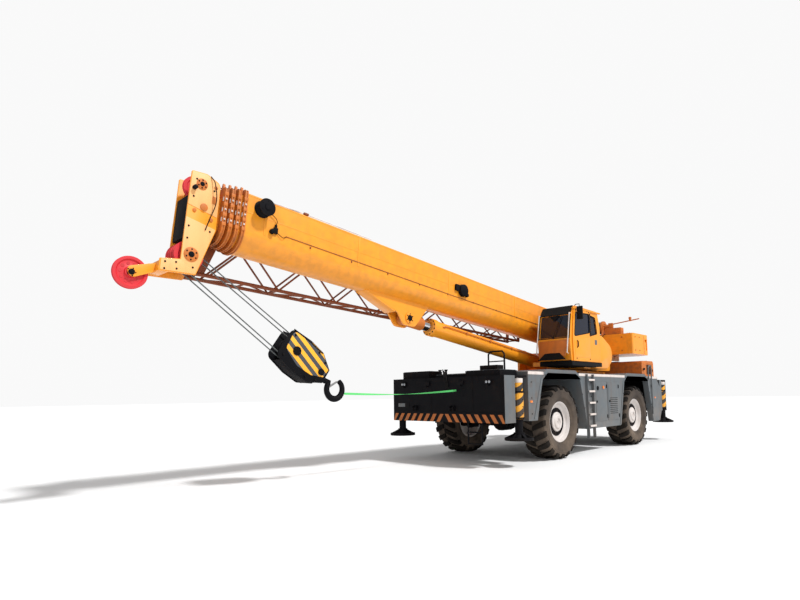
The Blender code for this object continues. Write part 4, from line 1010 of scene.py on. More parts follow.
@dataclass
class Jack:
    """One outrigger's jack with its striped tube, cap, hoses and float."""

    key: str
    x: float
    side: int
    y: float = 1.70
    tube_radius: float = 0.125
    cap_radius: float = 0.112

    def place(self) -> Matrix:
        """The jack's frame, with +Y outwards."""
        turn = Matrix.Rotation(0.0 if self.side > 0 else math.pi, 4, "Z")
        return ROOT @ Matrix.Translation((self.x, self.side * self.y, 0.0)) @ turn

    def build(self) -> None:
        """Builds what the beam's end and the jack's leg carry."""
        self.rings()
        self.cap()
        self.hoses()
        self.float_plate()

    def rings(self) -> None:
        """Collars and bolts round the striped tube."""
        rings = Sculpt(self.place())
        for low, high in ((1.082, 1.118), (1.672, 1.712)):
            rings.bar((0, 0, low), (0, 0, high), self.tube_radius + 0.007, 32, edge=0.004)
        rings.bolt_ring((0, 0, 1.711), "z", 0.118, 8, 0.007, 1)
        for z in (1.20, 1.36, 1.52):
            rings.bolt((0, 0.122, z), (0, 1, 0), 0.010)
        rings.piece(f"jack_rings_{self.key}", Paint.BLACK, f"beam_{self.key}")

    def cap(self) -> None:
        """The pale cap on the tube."""
        cap = Sculpt(self.place())
        cap.bar((0, 0, 1.90), (0, 0, 2.004), self.cap_radius + 0.004, 32, edge=0.01)
        cap.bolt((0, 0, 2.003), (0, 0, 1), 0.02)
        cap.piece(f"jack_cap_{self.key}", Paint.PALE, f"beam_{self.key}")

    def hoses(self) -> None:
        """Two hoses from the tube's head to the beam."""
        hoses = Sculpt(self.place())
        for shift in (-0.035, 0.035):
            hoses.pipe(smooth_route((
                (shift, -0.10, 1.78), (shift, -0.20, 1.80), (shift * 1.6, -0.24, 1.72),
                (shift * 1.6, -0.27, 1.60), (shift * 1.6, -0.34, 1.575),
            )), 0.010)
        hoses.piece(f"jack_hoses_{self.key}", Paint.RUBBER, f"beam_{self.key}")

    def float_plate(self) -> None:
        """The round float with its webs."""
        foot = Sculpt(self.place())
        plate = [(0.601, 0.0), (0.601, 0.300), (0.607, 0.316), (0.652, 0.329), (0.662, 0.322), (0.662, 0.0)]
        foot.lathe(plate, (0, 0, 0), "z", 48)
        for index in range(6):
            angle = math.tau * index / 6
            web = [(0.10, 0.655), (0.29, 0.655), (0.29, 0.672), (0.12, 0.755), (0.10, 0.755)]
            spoke = Sculpt(Matrix.Rotation(angle, 4, "Z"))
            spoke.prism(web, "y", (-0.006, 0.006), 0.002)
            bmesh.ops.transform(spoke.mesh, matrix=spoke.place, verts=spoke.mesh.verts)
            foot.join(spoke.mesh)
        foot.bar((0, 0, 0.73), (0, 0, 0.775), 0.125, 28, edge=0.006)
        foot.piece(f"jack_float_{self.key}", Paint.BLACK, f"jack_{self.key}")


@dataclass
class Deck:
    """One side's deck: a pale band along its edge as painted highlight, arch lips, doors, louvres and lamps.
    """

    name: str
    side: int
    half_width: float = 1.80
    front_axle: float = FRONT_AXLE
    rear_axle: float = REAR_AXLE
    arch_half: float = 0.90
    end: float = 4.098
    top: float = 2.168
    tread_pitch: float = 0.125

    def skin(self, proud: float) -> Span:
        """From just inside the side panel to some way proud of it."""
        return both(self.side, self.half_width - 0.004, self.half_width + proud)

    def bands(self) -> list[list[Pair]]:
        """The outlines of the pale bands of painted highlight along the deck's edge, between the arches.

        Returns:
            Each band's outline, in (x, z).
        """
        flats = ((self.end, self.front_axle + self.arch_half),
                 (self.front_axle - self.arch_half, self.rear_axle + self.arch_half),
                 (self.rear_axle - self.arch_half, -self.end))
        return [[(x0, self.top), (x1, self.top), (x1, 2.10), (x0, 2.10)] for x0, x1 in flats]

    def lip(self, centre: float, low_rear: float, low_front: float) -> list[Pair]:
        """The outline of one wheel opening's lip.

        Args:
            centre: The wheel's place along the crane.
            low_rear: The height of the lip's rear foot.
            low_front: The height of its front foot.

        Returns:
            The outline's points.
        """
        inner = [(-1.30, low_rear), (-0.95, 1.99), (-0.72, 2.148), (0.72, 2.148), (0.95, 1.99),
                 (1.30, low_front)]
        outer = [(1.38, low_front), (1.02, 2.01), (0.75, 2.152), (-0.75, 2.152), (-1.02, 2.01),
                 (-1.38, low_rear)]
        return [(centre + x, z) for x, z in (*inner, *outer)]

    def build(self) -> None:
        """Builds the side's pieces."""
        self.edge_highlights()
        self.panels()
        self.fittings()
        self.lamps()
        self.ladder()
        self.walkway()

    def edge_highlights(self) -> None:
        """Pale bands along the deck's edge and top: a painted highlight where the deck's top edge catches
        the light, on a deck whose own finish is chassis grey.
        """
        pale = Sculpt()
        for outline in self.bands():
            pale.prism(outline, "y", self.skin(0.007), 0.002)
        for x0, x1 in ((3.42, 4.09), (-1.34, 1.60), (-4.09, -3.20)):
            pale.block((x0, x1), both(self.side, 1.62, 1.80), (2.166, 2.1745), 0.002)
        pale.piece(f"deck_edge_highlight_{self.name}", Paint.PALE, "chassis", "chassis_grey")

    def panels(self) -> None:
        """Lips round the wheel openings, and doors."""
        lips = Sculpt()
        lips.prism(self.lip(self.front_axle, 0.70, 1.06), "y", self.skin(0.012), 0.003)
        rear_foot = 0.72 if self.side > 0 else 1.02
        lips.prism(self.lip(self.rear_axle, rear_foot, 0.70), "y", self.skin(0.012), 0.003)
        for x0, x1, z0, z1 in self.doors():
            lips.block((x0, x1), self.skin(0.012), (z0, z1), 0.006)
            lips.block((x0 + 0.05, x1 - 0.05), self.skin(0.020), (z0 + 0.05, z1 - 0.05), 0.006)
        lips.piece(f"deck_doors_{self.name}", Paint.GREY, "chassis")

    def fittings(self) -> None:
        """Hinges, handles, louvres, bolts and the filler cap."""
        dark = Sculpt()
        out = (0.0, float(self.side), 0.0)
        for x0, x1, z0, z1 in self.doors():
            y = self.side * (self.half_width + 0.022)
            for z in (z0 + 0.12, z1 - 0.12):
                dark.bar((x0 + 0.01, y, z - 0.05), (x0 + 0.01, y, z + 0.05), 0.013, 12)
            dark.block((x1 - 0.13, x1 - 0.07), self.skin(0.034),
                       ((z0 + z1) / 2 - 0.03, (z0 + z1) / 2 + 0.03), 0.006)
        for index in range(9):
            z = 1.02 + index * 0.055
            slat = [(self.side * 1.80, z), (self.side * 1.826, z + 0.035),
                    (self.side * 1.826, z + 0.043), (self.side * 1.80, z + 0.012)]
            dark.prism(slat, "x", (-0.74, -0.22), 0.0)
        y = self.side * (self.half_width + 0.001)
        for centre in (self.front_axle, self.rear_axle):
            for x, z in ((-1.16, 1.25), (-1.06, 1.62), (-0.84, 2.095), (0.84, 2.095), (1.06, 1.62)):
                dark.bolt((centre + x, y + self.side * 0.011, z), out, 0.010)
        for x in (3.96, 1.16, 0.92):
            for z in (1.18, 1.55, 1.92):
                dark.bolt((x, y, z), out, 0.010)
        dark.bar((0.55, self.side * 1.815, 1.78), (0.55, self.side * 1.84, 1.78), 0.060, 28, edge=0.006)
        dark.piece(f"deck_fittings_{self.name}", Paint.BLACK, "chassis")

    def lamps(self) -> None:
        """Amber side lamps."""
        lamp = Sculpt()
        lamp.bar((0.20, self.side * 1.815, 1.80), (0.20, self.side * 1.845, 1.80), 0.045, 24, edge=0.008)
        lamp.block((3.93, 4.03), self.skin(0.012), (1.44, 1.49), 0.004)
        lamp.block((-3.86, -3.76), self.skin(0.012), (1.44, 1.49), 0.004)
        lamp.piece(f"side_lamps_{self.name}", Paint.AMBER, "chassis")

    def ladder(self) -> None:
        """The ladder's treads, painted pale as a painted highlight on their own chassis grey."""
        treads = Sculpt()
        for z in (2.0, 1.69, 1.38, 1.07, 0.76):
            treads.block((0.865, 1.215), both(self.side, 1.835, 1.902), (z - 0.024, z + 0.026), 0.004)
        treads.piece(f"ladder_treads_{self.name}", Paint.PALE, "chassis", "chassis_grey")

    def doors(self) -> tuple[tuple[float, float, float, float], ...]:
        """The spans of the side's doors: x from, x to, z from, z to."""
        return ((-0.84, -0.10, 0.86, 1.95), (-0.04, 0.72, 0.86, 1.95))

    def walkway(self) -> None:
        """Raised non-slip bars along the top of the deck."""
        bars = Sculpt()
        arches = [(axle - 0.66, 11, self.top + 0.07) for axle in (self.front_axle, self.rear_axle)]
        for start, count, foot in ((-1.30, 22, self.top), *arches):
            for index in range(count):
                x = start + index * self.tread_pitch
                bars.block((x, x + 0.03), both(self.side, 0.72, 1.74), (foot, foot + 0.010), 0.002)
        bars.piece(f"deck_treads_{self.name}", Paint.GREY, "chassis")


def bolt_row(sculpt: Sculpt, face: float, out: int) -> None:
    """Bolts along the upper edge of an outrigger box.

    Args:
        sculpt: The sculpt they are added to.
        face: The box's face, along the crane.
        out: 1 or -1, the way out of the face.
    """
    for index in range(BOX_BOLTS):
        y = (index - (BOX_BOLTS - 1) / 2) * BOX_BOLT_PITCH
        sculpt.bolt((face, y, 2.03), (out, 0, 0), 0.009)


def warning_strip(end: str, span: Span) -> None:
    """Slanting orange bands along the foot of an outrigger box, mirrored about its middle.

    Args:
        end: Which end of the crane, front or rear.
        span: Where the bands lie along the crane.
    """
    low, high, edge = 1.0, 1.19, 1.76
    pitch, width, lean = 0.222, 0.11, 0.125
    bands = Sculpt()
    for side in (1, -1):
        for index in range(8):
            near = 0.02 + index * pitch
            corners = ((near, high), (near + width, high), (near + width + lean, low), (near + lean, low))
            bands.prism([(side * min(y, edge), z) for y, z in corners], "x", span, 0.0)
    bands.piece(f"warning_strip_{end}", Paint.ORANGE, "chassis")


@dataclass
class FrontEnd:
    """The front box: warning strip, lamps, towing eyes, grating and the hook's lashing."""

    face: float = 5.005
    half_width: float = 1.763

    def build(self) -> None:
        """Builds the front's pieces."""
        self.strip()
        self.fittings()
        self.lenses()
        self.plate()
        self.end_panels()
        self.grating()
        self.lashing()

    def strip(self) -> None:
        """The warning strip."""
        warning_strip("front", (self.face - 0.002, self.face + 0.0025))

    def fittings(self) -> None:
        """Lamp housings, towing eyes, seams and bolts."""
        dark = Sculpt()
        for y in (0.54, 1.35, -0.54, -1.35):
            dark.block((self.face + 0.02, self.face + 0.045), (y - 0.085, y + 0.085), (1.88, 1.98), 0.006)
            dark.block((self.face - 0.002, self.face + 0.06), (y - 0.012, y + 0.012), (1.84, 1.885), 0.003)
        for y in (-0.95, 0.28):
            for shift in (-0.05, 0.05):
                dark.prism(rounded(((self.face - 0.01, 1.26, 0), (self.face + 0.085, 1.27, 0.04),
                                    (self.face + 0.085, 1.37, 0.04), (self.face - 0.01, 1.40, 0))), "y",
                           (y + shift - 0.012, y + shift + 0.012), 0.003)
            dark.bar((self.face + 0.05, y - 0.08, 1.32), (self.face + 0.05, y + 0.08, 1.32), 0.016, 16)
        bolt_row(dark, self.face, 1)
        for y in (-1.72, -0.72, 0.0, 0.60, 1.22, 1.72):
            for z in (1.30, 1.62, 1.78):
                dark.bolt((self.face, y, z), (1, 0, 0), 0.009)
        dark.prism([(-1.74, 1.21), (1.74, 1.21), (1.74, 1.235), (-1.74, 1.235)], "x",
                   (self.face - 0.002, self.face + 0.012), 0.003)
        for y in (-0.42, 0.88):
            dark.block((self.face - 0.002, self.face + 0.006), (y - 0.006, y + 0.006), (1.24, 2.05), 0.0)
        for y in (-0.38, -0.18):
            dark.bar((4.70, y, 2.25), (4.70, y, 2.278), 0.045, 20, edge=0.006)
        dark.piece("front_fittings", Paint.BLACK, "chassis")

    def lenses(self) -> None:
        """The lamps' lenses."""
        lens = Sculpt()
        for y in (1.35, -1.35):
            for shift in (-0.04, 0.04):
                lens.lathe([(0.0, 0.030), (0.008, 0.029), (0.014, 0.018), (0.016, 0.0)],
                           (self.face + 0.043, y + shift, 1.93), "x", 24)
        lens.piece("front_lenses", Paint.LENS, "chassis")

    def plate(self) -> None:
        """A plate without any text, painted grey though its own paint is white: painted shade for the shaded
        front.
        """
        plate = Sculpt()
        plate.block((self.face + 0.006, self.face + 0.012), (-1.57, -1.33), (1.355, 1.445), 0.002)
        plate.piece("blank_front_plate", Paint.GREY, "chassis", "rim_white")

    def end_panels(self) -> None:
        """Grey panels on the ends of both outrigger boxes."""
        ends = Sculpt()
        for side, x in ((1, (4.59, 5.0035)), (-1, (4.115, 4.56)), (-1, (-4.9735, -4.58)),
                        (1, (-4.56, -4.385))):
            ends.block(x, both(side, 1.715, self.half_width + 0.003), (1.002, 2.068), 0.004)
        ends.piece("box_end_panels", Paint.GREY, "chassis")

    def grating(self) -> None:
        """Slatted tops of the lockers on the front box."""
        slats = Sculpt()
        for x0, x1, y0, y1, top in ((4.27, 4.91, 0.64, 1.58, 2.199), (4.27, 4.78, -0.43, 0.58, 2.139),
                                    (4.37, 4.83, -1.53, -0.64, 2.249)):
            count = int((x1 - x0) / 0.05)
            for index in range(count):
                x = x0 + (x1 - x0) * index / count
                slats.block((x, x + 0.014), (y0, y1), (top, top + 0.012), 0.002)
            for y in (y0, (y0 + y1) / 2, y1 - 0.014):
                slats.block((x0, x1), (y, y + 0.014), (top, top + 0.010), 0.002)
        slats.piece("front_gratings", Paint.GREY, "chassis", "frame_black")
        hoses = Sculpt()
        for shift in (0.0, 0.035, 0.07):
            hoses.pipe(smooth_route(((4.78, -0.10 - shift, 2.15), (4.86, -0.08 - shift, 2.20 + shift),
                                     (4.95, 0.02 - shift, 2.16), (5.02, 0.10 - shift, 2.05),
                                     (5.025, 0.14 - shift, 1.90), (5.008, 0.15 - shift, 1.80))), 0.011)
        hoses.piece("front_hoses", Paint.RUBBER, "chassis")

    def lashing(self) -> None:
        """The strap that ties the hook to the front of the chassis for the road."""
        strap = Sculpt(Matrix.Identity(4))
        start = Vector((self.face + SHIFT_X + 0.004, 0.40, 1.75))
        end = Vector((4.44, 0.012, 1.70))
        corners = ((-1, -1), (1, -1), (1, 1), (-1, 1))
        steps = 12
        sections = []
        for index in range(steps + 1):
            share = index / steps
            here = start.lerp(end, share) - Vector((0, 0, 0.05 * math.sin(math.pi * share)))
            turn = share * math.pi
            wide = Vector((0, math.sin(turn), math.cos(turn))) * 0.022
            thin = Vector((0, math.cos(turn), -math.sin(turn))) * 0.0015
            sections.append([tuple(here + a * wide + b * thin) for a, b in corners])
        strap.loft(sections)
        made = strap.piece("hook_lashing", Paint.GREEN, "chassis")
        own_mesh(made)


@dataclass
class RearEnd:
    """The hood over the engine and the rear box."""

    half_width: float = 1.62
    face: float = -4.975

    def build(self) -> None:
        """Builds louvres, seams, lamps and the warning strip."""
        self.fittings()
        self.seams()
        self.lamps()
        self.strip()

    def fittings(self) -> None:
        """Louvres, hinges, the exhaust's cap, grille, steps and towing eye."""
        dark = Sculpt()
        for side in (1, -1):
            y = side * self.half_width
            for index in range(8):
                z = 2.28 + index * 0.040
                slat = [(y, z), (y + side * 0.018, z - 0.016), (y + side * 0.018, z - 0.008),
                        (y, z + 0.016)]
                dark.prism(slat, "x", (-4.10, -3.66), 0.0)
            dark.block((-3.50, -3.40), both(side, self.half_width - 0.004, self.half_width + 0.022),
                       (2.40, 2.46), 0.006)
            for x in (-4.18, -3.34):
                dark.bar((x, y + side * 0.008, 2.34), (x, y + side * 0.008, 2.44), 0.011, 10)
        dark.lathe([(2.73, 0.0), (2.73, 0.068), (2.748, 0.072), (2.762, 0.05), (2.766, 0.0)],
                   (-3.55, -1.25, 0), "z", 28)
        for index in range(7):
            dark.block((-4.08 + index * 0.09, -4.05 + index * 0.09), (-0.7, 0.7), (2.700, 2.728), 0.004)
        for y in (-1.45, 1.45):
            dark.block((-4.99, -4.965), (y - 0.20, y + 0.20), (1.62, 1.76), 0.006)
            dark.block((-4.982, -4.97), (y - 0.26, y + 0.26), (1.22, 1.24), 0.002)
        bolt_row(dark, self.face, -1)
        dark.bolt_ring((self.face, 0, 1.45), "x", 0.14, 8, 0.014, -1)
        dark.bar((-4.97, 0, 1.45), (-5.04, 0, 1.45), 0.06, 24, edge=0.006)
        dark.piece("hood_fittings", Paint.BLACK, "chassis")

    def seams(self) -> None:
        """Handles and seams of the hood."""
        seams = Sculpt()
        for side in (1, -1):
            y = side * self.half_width
            seams.pipe([(-3.90, y + side * 0.03, 2.62), (-3.90, y + side * 0.06, 2.60),
                        (-3.70, y + side * 0.06, 2.60), (-3.70, y + side * 0.03, 2.62)], 0.008)
            for z in ((2.205, 2.235), (2.595, 2.615)):
                seams.block((-4.28, -3.27), both(side, self.half_width - 0.003, self.half_width + 0.006),
                            z, 0.002)
        seams.block((-3.80, -3.77), (-1.60, 1.60), (2.706, 2.722), 0.003)
        # The seams take the darker copy of the yellow: painted shade.
        seams.piece("hood_seams", Paint.YELLOW_SHADED, "chassis")

    def lamps(self) -> None:
        """Red, amber and white lamps at both corners."""
        for name, paint, shift in (("red", Paint.TAIL_RED, -0.12), ("amber", Paint.AMBER, 0.0),
                                   ("white", Paint.LENS, 0.12)):
            lamps = Sculpt()
            for y in (-1.45, 1.45):
                lamps.lathe([(-4.988, 0.045), (-4.999, 0.043), (-5.004, 0.03), (-5.006, 0.0)],
                            (0, y + shift, 1.69), "x", 24)
            lamps.piece(f"rear_lamps_{name}", paint, "chassis")

    def strip(self) -> None:
        """The warning strip."""
        warning_strip("rear", (-4.9775, -4.973))


@dataclass
class Turret:
    """What the turning frame carries besides the cab and the boom.

    Attributes:
        cheek_y: Half of the way between the outer faces of the cheeks.
        bearing_bolts: The radius of the slewing ring's outer bolts.
        drum: The radius of the winch's drum.
        drum_half: Half of the rope's run along the drum.
        layer: The radius of the rope's middle line on the drum.
        turns: How often the rope goes round.
    """

    cheek_y: float = 0.555
    bearing_bolts: float = 0.82
    drum: float = 0.171
    drum_half: float = 0.325
    layer: float = 0.195
    turns: int = 28

    def build(self) -> None:
        """Builds pin caps, bolts, hoses, doors, the winch's rope and the weight's fittings."""
        self.fittings()
        self.doors()
        self.tank()
        self.hoses()
        self.weight()
        self.winch_rope()

    def fittings(self) -> None:
        """Pin caps, bolt rings, the swivel and the winch's motor."""
        dark = Sculpt()
        for side in (1, -1):
            for x, z, radius in ((*BOOM_FOOT, 0.20), (*LIFT_FOOT, 0.13)):
                dark.bar((x, side * self.cheek_y, z), (x, side * (self.cheek_y + 0.020), z), radius * 0.62,
                         32, edge=0.005)
                dark.bolt_ring((x, side * 0.560, z), "y", radius * 0.82, 8, 0.012, side)
        dark.bolt_ring((0, 0, 2.329), "z", self.bearing_bolts, 32, 0.014, 1)
        dark.bolt_ring((0, 0, 2.181), "z", 0.566, 36, 0.010, 1)
        for x in (-1.95, -1.30, -0.60):
            dark.block((x - 0.03, x + 0.03), (-1.315, -1.298), (2.66, 2.72), 0.004)
        dark.bar((-0.45, -0.28, 2.33), (-0.45, -0.28, 2.56), 0.11, 24, edge=0.01)
        dark.bar((-0.45, -0.28, 2.56), (-0.45, -0.28, 2.66), 0.08, 24, edge=0.01)
        x, z = WINCH
        dark.bar((x, 0.55, z), (x, 0.66, z), 0.09, 24, edge=0.01)
        dark.bolt_ring((x, 0.42, z), "y", 0.13, 8, 0.010, 1)
        dark.bolt_ring((x, -0.42, z), "y", 0.10, 8, 0.010, -1)
        dark.piece("turret_fittings", Paint.BLACK, "turret")

    def doors(self) -> None:
        """Doors in the turret's sides."""
        doors = Sculpt()
        for x0, x1 in ((-2.10, -1.62), (-1.52, -0.92), (-0.82, -0.36)):
            doors.block((x0, x1), (-1.306, -1.296), (2.44, 2.86), 0.004)
        doors.block((-2.05, -1.45), (0.946, 0.958), (2.42, 2.70), 0.004)
        doors.block((-1.38, -0.90), (0.946, 0.958), (2.42, 2.70), 0.004)
        # The doors take the darker copy of the yellow: painted shade.
        doors.piece("turret_doors", Paint.YELLOW_SHADED, "turret")

    def tank(self) -> None:
        """The rounded tank behind the cab."""
        tank = Sculpt()
        shape = rounded(((-0.12, 2.42, 0.05), (-0.12, 3.38, 0.10), (-0.72, 3.38, 0.40), (-1.44, 3.02, 0.34),
                         (-1.36, 2.60, 0.25), (-1.00, 2.36, 0.15), (-0.30, 2.36, 0.05)), 10)
        tank.prism(shape, "y", (0.535, 1.45), 0.05)
        tank.piece("rounded_tank", Paint.YELLOW, "turret")

    def hoses(self) -> None:
        """Hoses from the swivel to the boom's foot and to the winch."""
        hoses = Sculpt()
        for index in range(5):
            y = -0.30 + index * 0.05
            hoses.pipe(smooth_route(((-1.30, y, 2.33), (-1.45, y, 2.62), (-1.78, y, 2.80), (-2.12, y, 2.72),
                                     (-2.32, y, 2.50), (-2.42, y, 2.60), (-2.46, y, 2.68))), 0.016)
        hoses.pipe(smooth_route(((-0.45, -0.20, 2.46), (-0.52, -0.12, 2.54), (-0.66, -0.05, 2.44),
                                 (-0.80, 0.0, 2.36), (-1.1, 0.05, 2.345))), 0.014)
        for shift in (0.0, 0.04):
            hoses.pipe(smooth_route(((-3.25, 0.62, 3.88 - shift), (-3.10, 0.70 + shift, 3.78),
                                     (-2.92, 0.66, 3.70), (-2.75, 0.56, 3.60),
                                     (-2.62, 0.50 + shift, 3.40))), 0.013)
        hoses.piece("turret_hoses", Paint.RUBBER, "turret")

    def weight(self) -> None:
        """Fittings on the counterweight."""
        parts = Sculpt()
        for y in (-1.10, 1.10):
            for shift in (-0.035, 0.035):
                parts.prism(rounded(((-3.66, 3.61, 0), (-3.50, 3.61, 0), (-3.52, 3.72, 0.04),
                                     (-3.64, 3.72, 0.04))), "y",
                            (y + shift - 0.010, y + shift + 0.010), 0.003)
            parts.bar((-3.58, y - 0.06, 3.675), (-3.58, y + 0.06, 3.675), 0.016, 16)
        for side in (1, -1):
            parts.block((-3.72, -3.68), both(side, 1.562, 1.570), (2.96, 3.58), 0.002)
            for x in (-3.30, -2.95):
                for z in (3.05, 3.50):
                    parts.bolt((x, side * 1.566, z), (0, side, 0), 0.016)
        for y in (-1.2, -0.4, 0.4, 1.2):
            parts.bolt((-2.749, y, 3.05), (1, 0, 0), 0.018)
            parts.bolt((-2.749, y, 3.50), (1, 0, 0), 0.018)
        # The fittings take the darker copy of the yellow: painted shade.
        parts.piece("weight_fittings", Paint.YELLOW_SHADED, "turret")
        self.weight_top()

    def weight_top(self) -> None:
        """The lamp's box and the grating on the counterweight."""
        crate = Sculpt()
        crate.block((-3.052, -2.798), (0.598, 1.152), (3.72, 3.842), 0.006)
        crate.block((-2.925, -2.835), (0.715, 0.865), (3.84, 4.025), 0.008)
        crate.bar((-2.90, 1.45, 4.10), (-2.90, 1.45, 4.17), 0.045, 20, edge=0.01)
        # The box takes the darker copy of the yellow: painted shade.
        crate.piece("weight_box", Paint.YELLOW_SHADED, "turret")
        mesh = Sculpt()
        for index in range(9):
            y = -1.25 + index * 0.09
            mesh.block((-3.95, -3.25), (y, y + 0.018), (3.617, 3.63), 0.002)
        for index in range(5):
            mesh.block((-3.95 + index * 0.17, -3.932 + index * 0.17), (-1.25, -0.50), (3.617, 3.632), 0.002)
        mesh.piece("weight_grating", Paint.GREY, "turret", "frame_black")

    def winch_rope(self) -> None:
        """Rope wound on the drum, and the fall from the drum to the boom."""
        crown = ((-0.010, 0.006), (-0.005, 0.016), (0.0, 0.019), (0.005, 0.016), (0.010, 0.006))
        profile: list[Pair] = [(-self.drum_half - 0.002, self.drum)]
        for index in range(self.turns):
            middle = -self.drum_half + 2 * self.drum_half * (index + 0.5) / self.turns
            profile += [(middle + shift, self.layer + rise) for shift, rise in crown]
        profile.append((self.drum_half + 0.002, self.drum))
        wound = Sculpt()
        wound.lathe(profile, (WINCH[0], 0, WINCH[1]), "y", 48, ring=True)
        wound.piece("winch_rope", Paint.ROPE, "turret")
        start = ROOT @ Vector((-3.22, 0.0, 4.142))
        end = BOOM @ Vector((0.30, 0.0, 0.612))
        fall = Sculpt(Matrix.Identity(4))
        fall.pipe([tuple(start.lerp(end, index / 16)) for index in range(17)], 0.011)
        made = fall.piece("rope_to_boom", Paint.ROPE, "")
        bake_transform(made)


@dataclass
class Cab:
    """The operator's cab: seals, wiper, lamps, mirror and what is inside."""

    y: Span = (0.713, 1.690)
    foot: Pair = (1.80, 3.12)
    brow: Pair = (1.68, 3.78)
    door_out: float = 0.032

    def on_front(self, along: float, out: float, y: float) -> Point:
        """A point of the windshield's plane.

        Args:
            along: Distance up the pane from its foot.
            out: Distance out of the pane.
            y: The place across the crane.

        Returns:
            The point.
        """
        slope = (Vector(self.brow) - Vector(self.foot)).normalized()
        place = Vector(self.foot) + slope * along + Vector((slope.y, -slope.x)) * out
        return (place.x, y, place.y)

    def seal(self, sculpt: Sculpt, outline: Sequence[Point], y: float, radius: float = 0.011) -> None:
        """Adds a rubber seal round an opening in a side wall."""
        sculpt.pipe([(u, y, v) for u, v in rounded(outline, 4)], radius, 8, closed=True)

    def build(self) -> None:
        """Builds the cab's pieces, the door's among them."""
        self.seals()
        self.roof()
        self.rails()
        self.plate()
        self.front_panel()
        self.cushions()
        self.shade_panels()
        self.controls()
        self.door()

    def seals(self) -> None:
        """Seals, wiper, mirror and the front's black trim, as one piece."""
        rubber = Sculpt()
        self.openings(rubber)
        self.wiper(rubber)
        self.mirror(rubber)
        self.front_trim(rubber)
        rubber.piece("cab_seals", Paint.RUBBER, "turret")

    def openings(self, rubber: Sculpt) -> None:
        """Seals round the fixed windows.

        Args:
            rubber: The sculpt that they are added to.
        """
        y0, y1 = self.y
        self.seal(rubber, ((0.16, 3.34, 0.04), (0.56, 3.26, 0.04), (0.56, 3.84, 0.04), (0.26, 3.80, 0.06)),
                  y1 - 0.002)
        self.seal(rubber, ((0.25, 3.20, 0.05), (1.60, 3.20, 0.05), (1.48, 3.84, 0.05), (0.32, 3.84, 0.05)),
                  y0 + 0.002)
        rear = rounded(((0.85, 3.10, 0.05), (1.55, 3.10, 0.05), (1.55, 3.50, 0.05), (0.85, 3.50, 0.05)), 4)
        rubber.pipe([(-0.042 + 0.02 * (z - 3.1), y, z) for y, z in rear], 0.010, 8, closed=True)
        frame = [(0.02, y0 + 0.045), (0.02, y1 - 0.045), (0.68, y1 - 0.045), (0.68, y0 + 0.045)]
        rubber.pipe([self.on_front(along, 0.004, y) for along, y in frame], 0.016, 8, closed=True)

    def wiper(self, rubber: Sculpt) -> None:
        """The wiper, and the dark wedge at the windshield's upper edge.

        Args:
            rubber: The sculpt that they are added to.
        """
        middle = sum(self.y) / 2
        wedge = ((0.66, middle - 0.16), (0.66, middle + 0.16), (0.50, middle))
        rubber.loft([[self.on_front(along, out, y) for along, y in wedge] for out in (0.0, 0.006)])
        boss = [(-0.01, 0.030), (0.022, 0.026), (0.026, 0.0)]
        rubber.lathe(boss, self.on_front(0.03, 0.0, middle), "x", 20)
        rubber.pipe([self.on_front(0.03, 0.025, middle), self.on_front(0.30, 0.022, middle + 0.10),
                     self.on_front(0.52, 0.018, middle + 0.18)], 0.006, 8)
        rubber.pipe([self.on_front(0.34, 0.012, middle + 0.115),
                     self.on_front(0.62, 0.012, middle + 0.215)], 0.008, 8)

    def mirror(self, rubber: Sculpt) -> None:
        """The black strips at the cab's foot, and the mirror on its arm.

        Args:
            rubber: The sculpt that they are added to.
        """
        y0, y1 = self.y
        rubber.block((1.60, 1.732), (y0 + 0.02, y1 - 0.02), (2.512, 2.60), 0.008)
        rubber.block((-0.055, 1.735), (y0 + 0.01, y1 + 0.016), (2.394, 2.512), 0.006)
        arm = [(1.44, y1 - 0.03, 4.02), (1.45, y1 + 0.03, 4.06), (1.45, y1 + 0.13, 4.06),
               (1.45, y1 + 0.13, 3.98)]
        rubber.pipe(arm, 0.010, 8)
        rubber.block((1.42, 1.475), (y1 + 0.055, y1 + 0.225), (3.64, 4.00), 0.022)

    def front_trim(self, rubber: Sculpt) -> None:
        """The brow over the windshield, the side pillars and the foot of the front.

        Args:
            rubber: The sculpt that they are added to.
        """
        y0, y1 = self.y
        brow = [(1.685, 3.775), (1.505, 4.031), (1.513, 4.037), (1.692, 3.780)]
        rubber.prism(brow, "y", (y0 + 0.03, y1 - 0.03), 0.0)
        strip = ((0, -0.022), (0.006, -0.022), (0.006, 0.022), (0, 0.022))
        for y in (y0 + 0.026, y1 - 0.026):
            rubber.loft([[self.on_front(along, out, y + shift) for out, shift in strip]
                         for along in (0.0, 0.67)])
        rubber.block((0.545, 0.612), (y1 - 0.003, y1 + 0.0035), (3.235, 3.875), 0.002)
        middle = sum(self.y) / 2
        skirt = ((-0.585, middle - 0.42), (-0.585, middle + 0.42), (-0.40, middle + 0.22),
                 (-0.40, middle - 0.22))
        rubber.loft([[self.on_front(along, out, y) for along, y in skirt] for out in (0.010, 0.020)])

    def roof(self) -> None:
        """The window in the roof."""
        roof = Sculpt()
        roof.block((0.44, 1.31), (0.85, 1.55), (4.004, 4.022), 0.006)
        roof.piece("roof_window", Paint.GLASS, "turret")

    def rails(self) -> None:
        """Grab rails on both sides of the windshield."""
        y0, y1 = self.y
        pale = Sculpt()
        for y in (y0 + 0.03, y1 - 0.03):
            pale.pipe([self.on_front(-0.42, -0.01, y), self.on_front(-0.42, 0.052, y),
                       self.on_front(0.70, 0.052, y), self.on_front(0.70, -0.01, y)], 0.0165, 12)
        pale.piece("cab_grab_rails", Paint.PALE, "turret")

    def plate(self) -> None:
        """A plate without any text on the cab's side."""
        badge = Sculpt()
        badge.block((0.18, 0.32), (self.y[1] - 0.003, self.y[1] + 0.004), (3.02, 3.16), 0.003)
        badge.piece("blank_side_plate", Paint.GREY, "turret")

